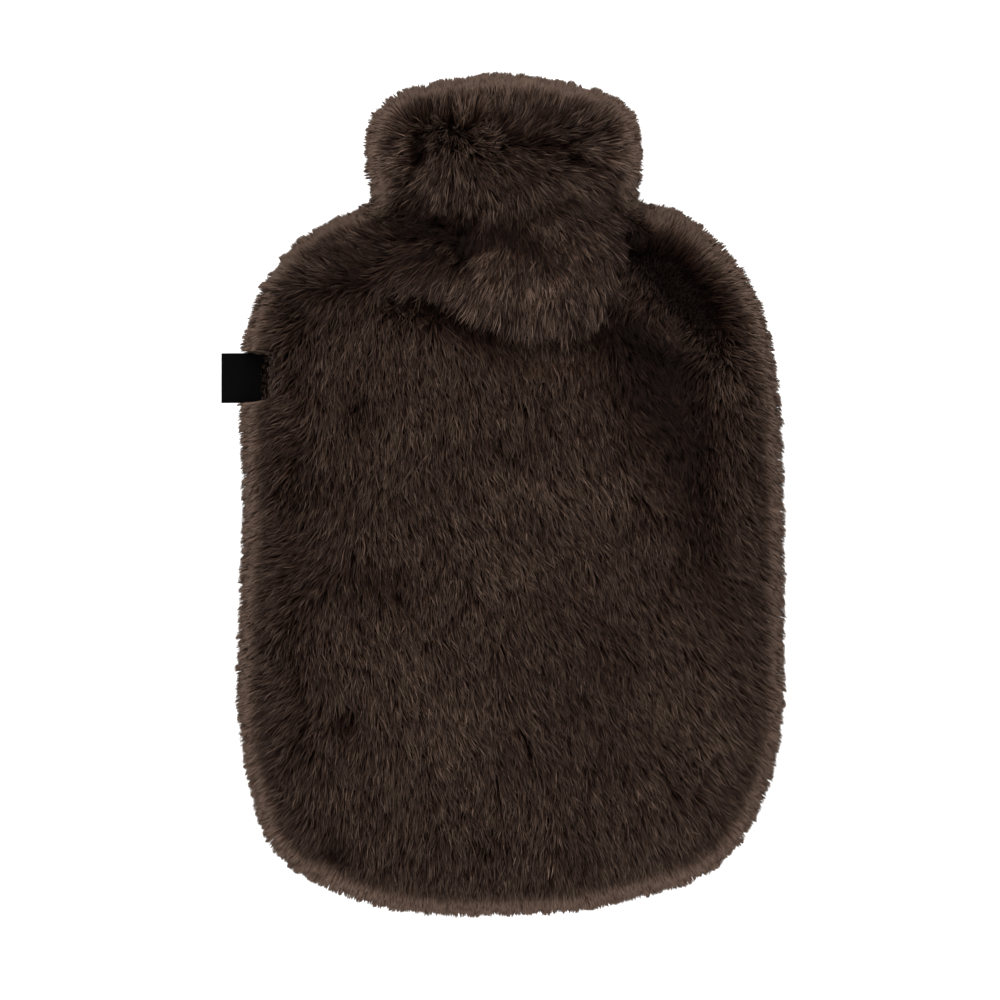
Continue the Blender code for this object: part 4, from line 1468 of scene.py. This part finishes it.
@dataclass
class Studio:
    """Floor, light and camera."""

    floor_size: float = 6.0
    view_width: float = 0.45
    view_centre: tuple[float, float] = (-0.0056, -0.0029)
    distance: float = 2.4
    world: float = 0.85
    # name, place and size in metres, watts
    lamps: tuple[tuple[str, Triple, float, float], ...] = (
        ("key", (-0.35, 1.15, 1.95), 1.6, 38.0),
        ("top", (0.3, -0.35, 2.2), 2.4, 30.0),
        ("fill", (0.3, -2.1, 1.0), 1.6, 20.0),
    )

    def build(self) -> None:
        """Makes the floor, the lights and the camera, straight above the cover."""
        scene = bpy.context.scene
        half = 0.5 * self.floor_size / MM
        corners = np.array([(-half, -half, 0.0), (half, -half, 0.0), (half, half, 0.0), (-half, half, 0.0)])
        floor = linked(raw_mesh("floor", corners, np.arange(4), np.array([4]), {}))
        floor.data.materials.append(FloorFinish().material())
        for name, place, size, power in self.lamps:
            light = bpy.data.lights.new(name, "AREA")
            light.shape, light.size, light.energy = "DISK", size, power
            lamp = bpy.data.objects.new(name, light)
            lamp.location = place
            lamp.rotation_euler = (Vector((0, 0, 0)) - Vector(place)).to_track_quat("-Z", "Y").to_euler()
            scene.collection.objects.link(lamp)
        world = bpy.data.worlds.new("studio")
        world.use_nodes = True
        world.node_tree.nodes["Background"].inputs[0].default_value = (1.0, 1.0, 1.0, 1.0)
        world.node_tree.nodes["Background"].inputs[1].default_value = self.world
        scene.world = world
        lens = bpy.data.cameras.new("camera")
        lens.sensor_width = 36.0
        lens.lens = lens.sensor_width * (self.distance - SEAM_Z * MM) / self.view_width
        lens.clip_end = 20.0
        camera = bpy.data.objects.new("camera", lens)
        camera.location = (*self.view_centre, self.distance)
        scene.collection.objects.link(camera)
        scene.camera = camera
        scene.view_settings.view_transform = "Standard"


def main() -> None:
    """Builds the studio and each piece of the cover in order."""
    logging.basicConfig(level=logging.INFO, format="%(message)s")
    Studio().build()
    panels = [
        BackPanel(
            node="back_panel",
            slot="back_fur",
            names=("back_pile_body", "back_pile_head"),
            strands=48000,
            cut=(0.30, 0.42),
            cut_area=0.094,
            rests_on=(),
            pile=Pile(seed=31),
            finish=PileFinish("brown pile of the back"),
        ),
        FrontPanel(
            node="front_panel",
            slot="front_fur",
            names=("front_pile_lower", "front_pile_middle", "front_pile_upper"),
            strands=96000,
            cut=(0.29, 0.34),
            cut_area=0.078,
            rests_on=("back_panel_backing",),
            pile=Pile(seed=11),
            finish=PileFinish("dark brown pile of the front"),
        ),
        HoodPanel(
            node="hood_panel",
            slot="hood_fur",
            names=("flap_pile", "head_pile"),
            strands=44000,
            cut=(0.24, 0.15),
            cut_area=0.0165,
            rests_on=("front_panel_backing",),
            pile=Pile(
                seed=23, tuft=3.8, lock=9.5, gather=0.78, lock_gather=0.2, tuft_tone=0.10,
                lock_tone=0.09, tone_spread=0.14, dark_step=0.36,
            ),
            finish=PileFinish("dark brown pile of the head"),
        ),
    ]
    for panel in panels:
        pieces = panel.build()
        panel.dress(pieces)
        for piece in pieces:
            LOG.info("%s: %d faces", piece.name, len(piece.data.polygons))
    label = SideLabel()
    piece = label.build()
    label.dress(piece)
    LOG.info("%s: %d faces", piece.name, len(piece.data.polygons))


if __name__ == "__main__":
    main()
